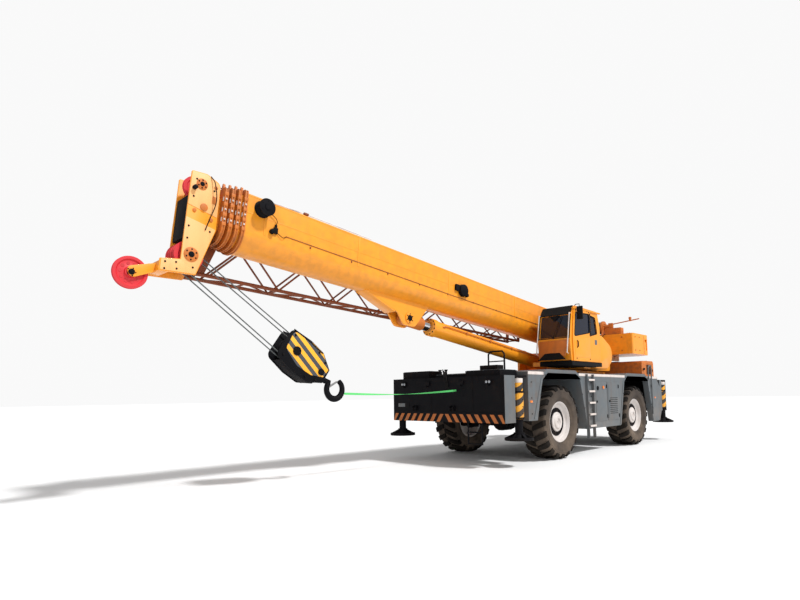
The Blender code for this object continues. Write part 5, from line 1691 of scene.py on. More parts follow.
    def front_panel(self) -> None:
        """The panel under the windshield."""
        y0, y1 = self.y
        lower = Sculpt()
        lower.loft([[self.on_front(-0.50, 0.0, y0 + 0.10), self.on_front(-0.50, 0.0, y1 - 0.10),
                     self.on_front(-0.04, 0.0, y1 - 0.06), self.on_front(-0.04, 0.0, y0 + 0.06)],
                    [self.on_front(-0.48, 0.012, y0 + 0.12), self.on_front(-0.48, 0.012, y1 - 0.12),
                     self.on_front(-0.06, 0.012, y1 - 0.08), self.on_front(-0.06, 0.012, y0 + 0.08)]])
        # The panel takes the darker copy of the yellow: painted shade, since the panel under the windshield
        # stands in shadow.
        lower.piece("cab_front_panel", Paint.YELLOW_SHADED, "turret")

    def cushions(self) -> None:
        """The seat's padded cushions."""
        for name, place, size in (("seat_cushion", (0.775, 1.20, 2.92), (0.54, 0.50, 0.14)),
                                  ("seat_back", (0.47, 1.20, 3.28), (0.15, 0.48, 0.66)),
                                  ("seat_head_rest", (0.40, 1.20, 3.70), (0.10, 0.26, 0.15))):
            lean = Matrix.Rotation(-0.18 if name != "seat_cushion" else 0.0, 4, "Y")
            sculpt = Sculpt(ROOT @ Matrix.Translation(place) @ lean)
            made = bmesh.new()
            bmesh.ops.create_cube(made, size=1.0)
            bmesh.ops.subdivide_edges(made, edges=made.edges[:], cuts=7, use_grid_fill=True)
            for vert in made.verts:
                point = vert.co * 2
                power = sum(abs(c) ** 5 for c in point) ** 0.2
                point = point / power
                vert.co = Vector((point.x * size[0], point.y * size[1], point.z * size[2])) / 2
            sculpt.join(made)
            piece = sculpt.piece(name, Paint.SEAT, "turret", sharp=60.0)

    def shade_panels(self) -> None:
        """Dark panels inside the walls and under the roof: painted shade for the shade inside the cab."""
        y0, y1 = self.y
        shade_panels = Sculpt()
        for x, y, z in (
            ((0.012, 0.024), (y0 + 0.05, y1 - 0.05), (2.60, 3.06)),
            ((0.012, 0.024), (y0 + 0.05, y1 - 0.05), (3.54, 3.93)),
            ((0.03, 1.62), (y0 + 0.052, y0 + 0.062), (2.60, 3.16)),
            ((0.05, 1.50), (y0 + 0.052, 0.84), (3.925, 3.935)),
            ((0.05, 1.50), (1.56, y1 - 0.05), (3.925, 3.935)), ((0.05, 0.43), (0.84, 1.56), (3.925, 3.935)),
            ((1.32, 1.50), (0.84, 1.56), (3.925, 3.935)),
        ):
            shade_panels.block(x, y, z, 0.0)
        shade_panels.piece("cab_shade_panels", Paint.SEAT, "turret")

    def controls(self) -> None:
        """The seat's foot and arm rests, the levers, the steering wheel and the screen."""
        trim = Sculpt()
        trim.block((0.57, 0.93), (1.04, 1.36), (2.565, 2.86), 0.02)
        for y in (0.90, 1.50):
            trim.block((0.55, 0.90), (y - 0.05, y + 0.05), (3.02, 3.08), 0.015)
            trim.block((0.60, 0.66), (y - 0.02, y + 0.02), (2.84, 3.03), 0.006)
            trim.bar((0.85, y, 3.08), (0.87, y, 3.22), 0.010, 10)
            trim.bar((0.868, y, 3.20), (0.873, y, 3.26), 0.024, 16, edge=0.006)
        trim.bar((1.28, 1.20, 3.05), (1.16, 1.20, 3.24), 0.03, 14)
        ring = [(1.15 + 0.11 * math.cos(t), 1.20 + 0.19 * math.sin(t), 3.26 + 0.07 * math.cos(t))
                for t in (math.tau * step / 32 for step in range(32))]
        trim.pipe(ring, 0.014, 10, closed=True)
        for turn in (0.5, 2.6, 4.7):
            trim.bar((1.15, 1.20, 3.255), (1.15 + 0.11 * math.cos(turn), 1.20 + 0.19 * math.sin(turn),
                                           3.26 + 0.07 * math.cos(turn)), 0.009, 8)
        trim.block((1.46, 1.50), (1.30, 1.52), (3.12, 3.34), 0.01)
        trim.bar((1.48, 1.44, 3.05), (1.48, 1.44, 3.14), 0.014, 10)
        trim.piece("cab_controls", Paint.RUBBER, "turret")

    def door(self) -> None:
        """The sliding door's seal, handle and runners."""
        face = self.y[1] + self.door_out
        rubber = Sculpt()
        self.seal(rubber, ((0.70, 3.33, 0.05), (1.60, 3.18, 0.05), (1.50, 3.84, 0.05), (0.70, 3.86, 0.05)),
                  face - 0.002)
        rubber.pipe([(1.46, face, 3.07), (1.46, face + 0.034, 3.04), (1.46, face + 0.034, 2.91),
                     (1.46, face, 2.88)], 0.0165, 10)
        rubber.block((1.40, 1.52), (face - 0.004, face + 0.004), (2.86, 3.09), 0.006)
        rubber.block((0.628, 0.695), (face - 0.003, face + 0.004), (3.235, 3.885), 0.002)
        for x in (0.72, 1.50):
            rubber.bar((x, face - 0.002, 3.905), (x, face + 0.012, 3.905), 0.016, 14)
            rubber.bar((x, face - 0.002, 2.585), (x, face + 0.012, 2.585), 0.016, 14)
        rubber.piece("door_seal", Paint.RUBBER, "door")
        panel = Sculpt()
        panel.prism(rounded(((0.68, 2.62, 0.04), (1.58, 2.62, 0.04), (1.60, 3.08, 0.04),
                             (0.68, 3.22, 0.04))), "y",
                    (face - 0.003, face + 0.006), 0.004)
        panel.piece("door_panel", Paint.YELLOW, "door")


@dataclass
class BoomSection:
    """One section of the telescopic boom with the collar at its mouth."""

    index: int
    half_width: float = 0.38
    top: float = 0.548
    bottom: float = -0.452
    step: float = 0.045
    wall: float = 0.012
    rear: float = -0.30
    collar_start: float = 12.70
    collar_pitch: float = 0.105
    collar_length: float = 0.055
    collar_rise: float = 0.030
    collar_inset: float = 0.020
    block_heights: tuple[float, ...] = (0.40, 0.22, 0.04, -0.12)
    pad_heights: tuple[float, ...] = (0.31, 0.13, -0.04)

    def outline(self, shrink: float, grow: float = 0.0) -> list[Pair]:
        """The section's outline: a box with a round belly.

        Args:
            shrink: How far it is drawn in from the outer section.
            grow: How far it then grows again.

        Returns:
            The outline's points.
        """
        half = self.half_width - shrink + grow
        top = self.top - shrink + grow
        bottom = self.bottom + shrink - grow
        belly = half * 0.86
        upper = rounded(((-half, top, 0.05), (half, top, 0.05), (half, 0.0, 0), (-half, 0.0, 0)), 5)
        lower = rounded(((half, top, 0), (half, bottom, belly), (-half, bottom, belly), (-half, top, 0)), 14)
        return upper[:12] + [point for point in lower if point[1] < top - 0.06]

    def span(self) -> Span:
        """Where the tube starts and ends.

        Returns:
            Its two places along the boom.
        """
        start = self.rear if self.index == 0 else 0.20 + 0.06 * self.index
        end = self.collar_start + self.index * self.collar_pitch + self.collar_length / 2
        return (start, min(end, HEAD_REAR))

    def build(self, body: str) -> None:
        """Builds the tube and its collar.

        Args:
            body: The body that the section belongs to.
        """
        shrink = self.index * self.step
        node = "boom_base" if self.index == 0 else f"boom_section_{self.index + 1}"
        start, end = self.span()
        tube = Sculpt(BOOM)
        outer, inner = self.outline(shrink), self.outline(shrink + self.wall)
        if self.index:
            tube.prism(outer, "x", (start, end), 0.0, inner)
        else:
            self.skin(tube, outer, inner, end)
        tube.piece(f"{node}_tube", Paint.YELLOW, body, replaces=(node,), sharp=28.0)
        if self.index < 4:
            self.collar(body)

    def skin(self, tube: Sculpt, outer: list[Pair], inner: list[Pair], end: float) -> None:
        """The base section's tube, whose rear corners are taken off.

        Args:
            tube: The sculpt it is added to.
            outer: The outer outline.
            inner: The inner outline.
            end: Where the tube ends.
        """
        low, high = -0.25, 0.15
        made = bmesh.new()
        loops = []
        for points in (outer, inner):
            near = []
            for y, z in points:
                x = self.rear
                if z > high:
                    x = self.rear + 0.42 * (z - high) / (self.top - high)
                elif z < low:
                    x = self.rear + 0.30 * (low - z) / (low - self.bottom)
                near.append(made.verts.new((x, y, z)))
            loops.append((near, [made.verts.new((end, y, z)) for y, z in points]))
        count = len(outer)
        for near, far in loops:
            for index in range(count):
                made.faces.new((near[index - 1], near[index], far[index], far[index - 1]))
        for side in (0, 1):
            out, cut = loops[0][side], loops[1][side]
            for index in range(count):
                made.faces.new((out[index - 1], out[index], cut[index], cut[index - 1]))
        tube.join(made)

    def collar(self, body: str) -> None:
        """The ribbed guide ring at the section's mouth.

        Args:
            body: The body that the section belongs to.
        """
        start = self.collar_start + self.index * self.collar_pitch
        inset = self.index * self.collar_inset
        rise = self.collar_rise
        length = self.collar_length
        ring = Sculpt(BOOM)
        mouth = self.outline((self.index + 1) * self.step, 0.003)
        ring.prism(self.outline(inset, rise - 0.012), "x", (start, start + length), 0.0, mouth)
        for x in (start, start + 0.041):
            ring.prism(self.outline(inset, rise), "x", (x, x + 0.014), 0.0,
                       self.outline(inset, rise - 0.016))
        top = self.top + rise - inset
        half = self.half_width + rise - inset
        for y in (-0.19, 0.19):
            ear = rounded(((y - 0.05, top - 0.01, 0), (y + 0.05, top - 0.01, 0),
                           (y + 0.012, top + 0.098, 0.01), (y - 0.012, top + 0.098, 0.01)))
            ring.prism(ear, "x", (start + 0.008, start + 0.047), 0.003)
        for side in (1, -1):
            for z in self.block_heights:
                ring.block((start - 0.006, start + 0.061), both(side, half - 0.02, half + 0.004),
                           (z - 0.030, z + 0.030), 0.004)
        # The collar takes the darker copy of the yellow: painted shade.
        ring.piece(f"collar_{self.index + 1}", Paint.YELLOW_SHADED, body)
        pads = Sculpt(BOOM)
        for side in (1, -1):
            for z in self.pad_heights:
                pads.block((start + 0.050, start + 0.064), both(side, half - 0.062, half - 0.03),
                           (z - 0.035, z + 0.035), 0.003)
                pads.bolt((start + 0.027, side * half, z), (0, side, 0), 0.011)
        pads.piece(f"collar_pads_{self.index + 1}", Paint.PALE, body)


@dataclass
class BoomDress:
    """What is fixed to the boom's base section."""

    side_y: float = 0.38
    guides: tuple[float, ...] = (1.4, 5.2, 9.0)
    reel: Pair = (12.41, 0.335)
    swivel: Pair = (6.94, 0.15)
    rope_z: float = 0.6125
    rope_radius: float = 0.011

    def build(self) -> None:
        """Builds the ears, reels, rope guides, seams and cables."""
        self.brackets()
        self.seams()
        self.top_line()
        self.wire()
        self.reels()
        self.reel_cable()
        self.rope()

    def brackets(self) -> None:
        """The lift cylinder's ears, the foot's plates, jib hangers and rope guides."""
        pin_x, pin_z = EAR_PIN
        solid = Sculpt(BOOM)
        ear = rounded(((7.85, -0.40, 0), (8.30, -0.98, 0.14), (8.66, -0.99, 0.16), (8.86, -0.74, 0.1),
                       (9.86, -0.40, 0)))
        foot = rounded(((-0.28, -0.20, 0.05), (0.42, -0.26, 0.1), (0.55, 0.10, 0.1), (0.30, 0.34, 0.1),
                        (-0.24, 0.12, 0.05)))
        for side in (1, -1):
            solid.prism(ear, "y", both(side, 0.13, 0.17), 0.006)
            solid.bar((pin_x, side * 0.168, pin_z), (pin_x, side * 0.195, pin_z), 0.12, 36, edge=0.006)
            solid.bar((0, side * 0.372, 0), (0, side * 0.469, 0), 0.18, 40, edge=0.006)
            solid.prism(foot, "y", both(side, 0.376, 0.392), 0.005)
        web = [(8.92, -0.66), (9.80, -0.40), (9.80, -0.46), (8.94, -0.75)]
        solid.prism(web, "y", (-0.165, 0.165), 0.004)
        for x in JIB_HANGERS:
            solid.block((x - 0.06, x + 0.06), (-0.5147, -0.372), (-0.10, 0.0), 0.006)
        for x in self.guides:
            solid.block((x - 0.05, x + 0.05), (-0.10, 0.10), (0.540, 0.575), 0.006)
            for y in (-0.075, 0.075):
                solid.prism(rounded(((x - 0.04, 0.57, 0), (x + 0.04, 0.57, 0), (x + 0.02, 0.655, 0.02),
                                     (x - 0.02, 0.655, 0.02))), "y", (y - 0.008, y + 0.008), 0.002)
        solid.piece("boom_brackets", Paint.YELLOW, "boom")

    def seams(self) -> None:
        """Weld seams along both sides and stiffeners across them."""
        seams = Sculpt(BOOM)
        for side in (1, -1):
            for z in (0.505, 0.20):
                seams.block((0.25, 12.69), both(side, self.side_y - 0.004, self.side_y + 0.0035),
                            (z - 0.006, z + 0.006), 0.001)
            for x in (1.9, 4.6, 7.4, 10.2, 12.3):
                seams.block((x, x + 0.05), both(side, self.side_y - 0.004, self.side_y + 0.006),
                            (-0.10, 0.50), 0.002)
        seams.piece("boom_seams", Paint.YELLOW, "boom")

    def top_line(self) -> None:
        """A pale line along the boom's upper edge."""
        line = Sculpt(BOOM)
        line.pipe([(11.60, 0.365, 0.556), (12.30, 0.372, 0.52)], 0.011, 8)
        line.pipe([(9.90, 0.365, 0.556), (11.50, 0.365, 0.556)], 0.007, 8)
        line.piece("boom_top_line", Paint.PALE, "boom", "rope_steel")

    def wire(self) -> None:
        """A wire along the boom's left side, in clips."""
        wire = Sculpt(BOOM)
        wire.pipe([(0.4, 0.388, -0.06), (6.9, 0.388, -0.05), (11.9, 0.388, 0.0)], 0.0065, 8)
        for index in range(12):
            x = 0.6 + index * 0.98
            wire.block((x - 0.012, x + 0.012), (0.376, 0.396), (-0.070, -0.035), 0.003)
        wire.block((11.47, 11.57), (0.335, 0.385), (0.540, 0.582), 0.008)
        wire.piece("boom_wire", Paint.BROWN, "boom", "seat_black")

    def reels(self) -> None:
        """Cable reel, swivel, valve, pin caps and rope rollers."""
        pin_x, pin_z = EAR_PIN
        reel = Sculpt(BOOM)
        reel.lathe([(0.372, 0.0), (0.372, 0.150), (0.388, 0.150), (0.392, 0.118), (0.545, 0.118),
                    (0.549, 0.150), (0.566, 0.150), (0.572, 0.06), (0.586, 0.05), (0.586, 0.0)],
                   (self.reel[0], 0, self.reel[1]), "y", 44)
        reel.lathe([(0.372, 0.0), (0.372, 0.15), (0.390, 0.155), (0.470, 0.145), (0.488, 0.10), (0.50, 0.0)],
                   (self.swivel[0], 0, self.swivel[1]), "y", 40)
        reel.block((7.05, 7.22), (0.376, 0.44), (0.10, 0.26), 0.02)
        reel.bar((6.80, 0.40, 0.06), (6.80, 0.46, 0.06), 0.05, 20, edge=0.01)
        reel.bolt_ring((self.reel[0], 0.566, self.reel[1]), "y", 0.11, 6, 0.008, 1)
        reel.bolt_ring((self.swivel[0], 0.478, self.swivel[1]), "y", 0.11, 6, 0.008, 1)
        for side in (1, -1):
            reel.bar((pin_x, side * 0.193, pin_z), (pin_x, side * 0.207, pin_z), 0.07, 28, edge=0.004)
            reel.bolt_ring((pin_x, side * 0.195, pin_z), "y", 0.095, 6, 0.010, side)
        reel.block((12.09, 12.17), (0.378, 0.42), (-0.02, 0.09), 0.008)
        reel.bar((12.20, 0.378, 0.00), (12.20, 0.455, 0.00), 0.045, 20, edge=0.006)
        reel.bar((12.13, 0.40, 0.09), (12.13, 0.40, 0.14), 0.022, 16)
        reel.pipe(smooth_route(((12.13, 0.40, 0.14), (12.12, 0.41, 0.20), (12.16, 0.41, 0.26),
                                (12.26, 0.41, 0.31))), 0.006)
        reel.pipe(smooth_route(((12.08, 0.40, 0.0), (11.98, 0.41, -0.05), (11.90, 0.39, 0.0))), 0.006)
        for x in self.guides:
            reel.bar((x, -0.07, 0.588), (x, 0.07, 0.588), 0.012, 14)
        reel.piece("boom_reels", Paint.BLACK, "boom")

    def reel_cable(self) -> None:
        """The cable wound on the reel."""
        wound = Sculpt(BOOM)
        profile: list[Pair] = [(0.394, 0.116)]
        for index in range(9):
            middle = 0.402 + index * 0.0168
            profile += [(middle - 0.006, 0.128), (middle, 0.136), (middle + 0.006, 0.128)]
        profile.append((0.543, 0.116))
        wound.lathe(profile, (self.reel[0], 0, self.reel[1]), "y", 40, ring=True)
        wound.piece("reel_cable", Paint.RUBBER, "boom")

    def rope(self) -> None:
        """Rope along the top: a length on each section, which draw apart as the boom extends."""
        last = len(SECTIONS) - 1
        for index, body in enumerate(SECTIONS):
            section = BoomSection(index)
            start = 0.30 if index == 0 else 4.6 + index * 0.05
            end = section.collar_start + index * section.collar_pitch if index < last else 13.44
            part = Sculpt(BOOM)
            route = [(start, 0.0, self.rope_z), ((start + end) / 2, 0.0, 0.6120), (end, 0.0, self.rope_z)]
            part.pipe(route, self.rope_radius - 0.0004 * index, 10)
            part.piece(f"rope_over_boom_{index + 1}", Paint.ROPE, body)


@dataclass
class BoomHead:
    """The head's plates, sheaves, pins and the nose."""

    plate_y: Span = (0.235, 0.26)
    rear: float = HEAD_REAR
    lower: Pair = HEAD_PIN
    upper: Pair = (13.43, 0.44)
    nose: Pair = (14.22, -1.19)

    def build(self) -> None:
        """Builds the head's pieces."""
        self.plates()
        self.doublers()
        self.bosses()
        self.pins()
        self.sheaves()

    def plates(self) -> None:
        """The head's side plates, their ties and the nose's fork."""
        outline = rounded((
            (self.rear, 0.55, 0.10), (self.rear + 0.24, 0.645, 0.06), (13.61, 0.618, 0.03),
            (13.62, -0.86, 0), (13.92, -0.92, 0.02), (13.92, -1.12, 0.03), (13.36, -1.06, 0.03),
            (self.rear, -0.25, 0),
        ), 6)
        plates = Sculpt(BOOM)
        for side in (1, -1):
            plates.prism(outline, "y", both(side, self.plate_y[0], self.plate_y[1]), 0.005)
        plates.block((self.rear + 0.001, self.rear + 0.025), (-0.245, 0.245), (-0.24, 0.44), 0.003)
        plates.block((13.76, 13.90), (-0.245, 0.245), (-1.10, -0.94), 0.005)
        fork = rounded(((13.86, -1.09, 0), (14.22, -1.28, 0.07), (14.31, -1.12, 0.07), (13.88, -0.96, 0)))
        for side in (1, -1):
            plates.prism(fork, "y", both(side, 0.045, 0.070), 0.004)
        plates.piece("head_plates", Paint.YELLOW, "tip", replaces=("boom_head",))

    def doublers(self) -> None:
        """Doublers on the side plates, painted pale peach as a painted highlight on the crane's yellow."""
        pale = Sculpt(BOOM)
        low = rounded(((13.13, -0.24, 0.01), (13.615, -0.16, 0.01), (13.615, -0.87, 0.01),
                       (13.90, -0.93, 0.01), (13.90, -1.10, 0.02), (13.37, -1.045, 0.02)))
        high = rounded(((13.13, 0.53, 0.09), (13.36, 0.63, 0.05), (13.60, 0.605, 0.02), (13.61, 0.05, 0.01),
                        (13.13, -0.03, 0.01)))
        for side in (1, -1):
            for shape in (low, high):
                pale.prism(shape, "y", both(side, 0.258, 0.2665), 0.003)
        pale.piece("head_doublers", Paint.PEACH_HIGHLIGHT, "tip")

    def bosses(self) -> None:
        """Bosses and tie bars."""
        shaded_bosses = Sculpt(BOOM)
        for side in (1, -1):
            for (x, z), radius in ((self.lower, 0.115), (self.upper, 0.09)):
                shaded_bosses.bar((x, side * 0.258, z), (x, side * 0.281, z), radius, 36, edge=0.005)
        for x, z in ((13.20, 0.46), (13.50, -0.02), (13.22, -0.10)):
            shaded_bosses.bar((x, -0.275, z), (x, 0.275, z), 0.03, 24, edge=0.003)
        for side in (1, -1):
            shaded_bosses.bar((13.36, side * 0.262, 0.07), (13.36, side * 0.285, 0.07), 0.06, 28, edge=0.004)
            shaded_bosses.block((13.18, 13.24), both(side, 0.262, 0.282), (0.18, 0.30), 0.006)
        # The bosses take the darker copy of the yellow: painted shade.
        shaded_bosses.piece("head_bosses", Paint.YELLOW_SHADED, "tip")

    def pins(self) -> None:
        """Pins, bolts, the block between the sheaves and a cable."""
        dark = Sculpt(BOOM)
        for side in (1, -1):
            for (x, z), radius in ((self.lower, 0.085), (self.upper, 0.066)):
                dark.bar((x, side * 0.279, z), (x, side * 0.290, z), radius * 0.55, 28, edge=0.003)
                dark.bolt_ring((x, side * 0.281, z), "y", radius, 6, 0.009, side)
            for x, z in ((13.22, 0.40), (13.52, 0.50), (13.54, 0.20), (13.22, -0.30), (13.56, -0.30),
                         (13.56, -0.50), (13.42, -0.95), (13.68, -0.93), (13.84, -0.96), (13.84, -1.07),
                         (13.66, -1.03)):
                dark.bolt((x, side * 0.267, z), (0, side, 0), 0.011)
            dark.bar((self.nose[0], side * 0.068, self.nose[1]), (self.nose[0], side * 0.090, self.nose[1]),
                     0.045, 24, edge=0.004)
            dark.bolt_ring((self.nose[0], side * 0.070, self.nose[1]), "y", 0.060, 5, 0.007, side)
        dark.block((13.16, 13.20), (-0.22, 0.22), (-0.20, 0.40), 0.004)
        dark.block((13.50, 13.60), (-0.2345, 0.2345), (-0.49, 0.225), 0.010)
        dark.pipe(smooth_route(((13.30, 0.27, 0.62), (13.24, 0.32, 0.50), (13.20, 0.34, 0.20),
                                (13.26, 0.31, -0.10), (13.30, 0.275, -0.30))), 0.008)
        dark.bar((13.545, 0.262, 0.34), (13.545, 0.335, 0.34), 0.035, 20, edge=0.005)
        dark.piece("head_pins", Paint.BLACK, "tip")

    def sheaves(self) -> None:
        """Fine sheaves with rope grooves and spoked webs."""
        pack = Sculpt(BOOM)
        for y in (0.15, 0.06, -0.03, -0.12):
            pack.lathe(sheave_profile(y, 0.19, 0.235, 0.035), (self.lower[0], 0, self.lower[1]), "y", 64,
                       ring=True)
        pack.bar((self.lower[0], -0.2345, self.lower[1]), (self.lower[0], 0.2345, self.lower[1]), 0.09, 32)
        pack.piece("head_sheave_pack", Paint.RED, "tip", replaces=("head_sheaves",))
        top = Sculpt(BOOM)
        top.lathe(sheave_profile(0.0, 0.17, 0.20, 0.030), (self.upper[0], 0, self.upper[1]), "y", 56,
                  ring=True)
        top.bar((self.upper[0], -0.2345, self.upper[1]), (self.upper[0], 0.2345, self.upper[1]), 0.06, 28)
        top.piece("top_sheave_wheel", Paint.RED, "tip", replaces=("top_sheave",))
        nose = Sculpt(BOOM)
        nose.lathe([(-0.030, 0.245), (-0.024, 0.2465), (-0.009, 0.224), (0.0, 0.219), (0.009, 0.224),
                    (0.024, 0.2465), (0.030, 0.245), (0.031, 0.203), (0.020, 0.192), (0.012, 0.182),
                    (0.012, 0.100), (0.018, 0.090), (0.044, 0.080), (0.044, 0.050), (-0.044, 0.050),
                    (-0.044, 0.080), (-0.018, 0.090), (-0.012, 0.100), (-0.012, 0.182), (-0.020, 0.192),
                    (-0.031, 0.203)],
                   (self.nose[0], 0, self.nose[1]), "y", 72, ring=True)
        for index in range(10):
            turn = math.tau * index / 10
            x, z = self.nose[0] + 0.140 * math.cos(turn), self.nose[1] + 0.140 * math.sin(turn)
            nose.bar((x, -0.016, z), (x, 0.016, z), 0.024, 20)
        nose.piece("nose_wheel", Paint.RED, "tip", replaces=("nose_sheave",))


def sheave_profile(middle: float, groove: float, flange: float, half: float) -> list[Pair]:
    """The ring profile of one sheave.

    Args:
        middle: Its place along the pin.
        groove: The radius at the bottom of its groove.
        flange: Its outer radius.
        half: Half of its thickness.

    Returns:
        Points of (place along the pin, radius).
    """
    points = [(-half, 0.06), (-half, 0.085), (-0.4 * half, 0.095), (-0.4 * half, groove - 0.035),
              (-half, groove - 0.022), (-half, flange - 0.003), (-0.8 * half, flange),
              (-0.3 * half, groove + 0.006), (0.0, groove)]
    mirrored = [(-along, radius) for along, radius in reversed(points[:-1])]
    return [(middle + along, radius) for along, radius in (*points, *mirrored)]


@dataclass
class Jib:
    """The lattice extension stowed along the boom's right side."""

    rear: float = 2.98
    front: float = 12.90
    tip: Pair = (13.50, -0.86)
    planes: Span = (-0.55, -0.95)
    top: float = -0.05
    bottom: Span = (-0.40, -0.80)
    bays: int = 14
    chord: float = 0.034
    lace: float = 0.019
    brace: float = 0.016
    rung: float = 0.018

    def low(self, x: float) -> float:
        """The height of the bottom chords at a place along the jib."""
        share = (x - self.rear) / (self.front - self.rear)
        return self.bottom[0] + (self.bottom[1] - self.bottom[0]) * share

    def build(self) -> None:
        """Builds the lattice and its pins."""
        self.lattice()
        self.pins()

    def lattice(self) -> None:
        """Four chords, their lacing, the end frames and the tip."""
        lattice = Sculpt(BOOM)
        for y in self.planes:
            lattice.pipe([(self.rear, y, self.top), (self.front, y, self.top),
                          (self.tip[0], y, self.tip[1] + 0.02)], self.chord, 16)
            lattice.pipe([(self.rear, y, self.low(self.rear)), (self.front, y, self.low(self.front)),
                          (self.tip[0], y, self.tip[1] - 0.01)], self.chord, 16)
            lattice.block((self.rear, self.rear + 0.07), (y - self.chord, y + self.chord),
                          (self.low(self.rear), self.top), 0.005)
            lattice.prism(rounded(((self.front - 0.25, self.top - 0.02, 0),
                                   (self.front + 0.08, self.top - 0.05, 0.03),
                                   (self.tip[0], self.tip[1] + 0.05, 0.02),
                                   (self.front, self.low(self.front), 0))),
                          "y", (y - 0.006, y + 0.006), 0.002)
        step = (self.front - self.rear - 0.2) / self.bays
        for bay in range(self.bays):
            start = self.rear + 0.1 + bay * step
            end = start + step
            flip = bay % 2 == 0
            a, b = (self.low(start), self.top) if flip else (self.top, self.low(end))
            for y in self.planes:
                lattice.bar((start, y, a), (end, y, b), self.lace, 12)
            y0, y1 = self.planes if flip else reversed(self.planes)
            lattice.bar((start, y0, self.top), (end, y1, self.top), self.brace, 10)
            lattice.bar((start, y1, self.low(start)), (end, y0, self.low(end)), self.brace, 10)
            for z in (self.top, self.low(start)):
                lattice.bar((start, self.planes[0], z), (start, self.planes[1], z), self.rung, 12)
        lattice.bar((self.tip[0] - 0.05, self.planes[1], self.tip[1]),
                    (self.tip[0] - 0.05, self.planes[0], self.tip[1]), 0.03, 20)
        # The jib's brown is its yellow darkened as painted shade, for the boom's shadow on it.
        lattice.piece("jib_frame", Paint.BROWN, "boom", replaces=("jib_lattice",))

    def pins(self) -> None:
        """Pins at the lattice's ends and bolts on its hangers."""
        dark = Sculpt(BOOM)
        for y in self.planes:
            for z in (self.top, self.low(self.rear)):
                dark.bar((self.rear + 0.035, y - 0.045, z), (self.rear + 0.035, y + 0.045, z), 0.022, 18,
                         edge=0.003)
            dark.bar((self.tip[0] - 0.05, y - 0.045, self.tip[1]),
                     (self.tip[0] - 0.05, y + 0.045, self.tip[1]), 0.018, 16)
        for x in JIB_HANGERS:
            for shift in (-0.035, 0.035):
                dark.bolt((x + shift, -0.45, 0.0), (0, 0, 1), 0.012)
        dark.piece("jib_pins", Paint.BLACK, "boom")


@dataclass
class LiftCylinder:
    """The cylinder that raises the boom."""

    length: float = 5.1
    radius: float = 0.1925
    rod: float = 0.12
    reach: float = 5.9437

    def build(self) -> None:
        """Builds the barrel, its gland and pipe, and the rod with its eye."""
        self.barrel()
        self.gland()
        self.oil_pipe()
        self.rod_bar()
        self.rod_eye()

    def barrel(self) -> None:
        """The barrel with its gland and foot."""
        r, head = self.radius, self.length
        barrel = Sculpt(LIFT)
        profile = [(0.10, 0.0), (0.10, 0.14), (0.20, 0.150), (0.22, r - 0.012), (0.235, r), (head - 0.18, r),
                   (head - 0.165, r + 0.02), (head - 0.012, r + 0.02), (head - 0.002, r + 0.010),
                   (head - 0.002, 0.1205), (head - 0.2, 0.1205), (head - 0.2, 0.155), (0.45, 0.155),
                   (0.45, 0.0)]
        barrel.lathe(profile, (0, 0, 0), "x", 56)
        eye = [(-0.158, 0.088), (-0.158, 0.160), (-0.150, 0.17), (0.150, 0.17), (0.158, 0.160),
               (0.158, 0.088)]
        barrel.lathe(eye, (0, 0, 0), "y", 40, ring=True)
        barrel.lathe([(1.0, r - 0.004), (1.0, r + 0.008), (1.05, r + 0.008), (1.05, r - 0.004)], (0, 0, 0),
                     "x", 48, ring=True)
        barrel.piece("lift_barrel_tube", Paint.YELLOW, "lift_barrel", replaces=("lift_barrel",))

    def gland(self) -> None:
        """Bolts round the gland."""
        dark = Sculpt(LIFT)
        dark.bolt_ring((self.length - 0.003, 0, 0), "x", self.radius - 0.010, 12, 0.012, 1)
        dark.piece("lift_gland_bolts", Paint.BLACK, "lift_barrel")

    def oil_pipe(self) -> None:
        """The oil pipe along the barrel."""
        r = self.radius
        line = Sculpt(LIFT)
        line.pipe(smooth_route(((0.34, r - 0.02, 0.06), (0.42, r + 0.022, 0.07), (0.60, r + 0.014, 0.08),
                                (2.5, r + 0.012, 0.08), (4.55, r + 0.012, 0.08), (4.72, r + 0.022, 0.06),
                                (4.82, r + 0.004, 0.04))), 0.014, 12)
        for x in (0.9, 1.9, 2.9, 3.9):
            line.block((x - 0.02, x + 0.02), (r - 0.03, r + 0.030), (0.05, 0.11), 0.004)
        line.block((0.28, 0.42), (r - 0.04, r + 0.03), (0.0, 0.10), 0.01)
        # The pipe takes the darker copy of the yellow: painted shade.
        line.piece("lift_pipe", Paint.YELLOW_SHADED, "lift_barrel")

    def rod_bar(self) -> None:
        """The chromed rod."""
        rod = Sculpt(LIFT)
        rod.bar((0.80, 0, 0), (self.reach - 0.07, 0, 0), self.rod, 48)
        rod.piece("lift_rod_bar", Paint.CHROME, "lift_rod", replaces=("lift_rod",))

    def rod_eye(self) -> None:
        """The rod's eye and neck."""
        end = Sculpt(LIFT)
        eye = [(-0.117, 0.060), (-0.117, 0.132), (-0.110, 0.139), (0.110, 0.139), (0.117, 0.132),
               (0.117, 0.060)]
        end.lathe(eye, (self.reach, 0, 0), "y", 40, ring=True)
        end.bar((self.reach - 0.56, 0, 0), (self.reach - 0.10, 0, 0), 0.150, 36, edge=0.012)
        # The eye takes the darker copy of the yellow: painted shade.
        end.piece("lift_rod_eye", Paint.YELLOW_SHADED, "lift_rod")


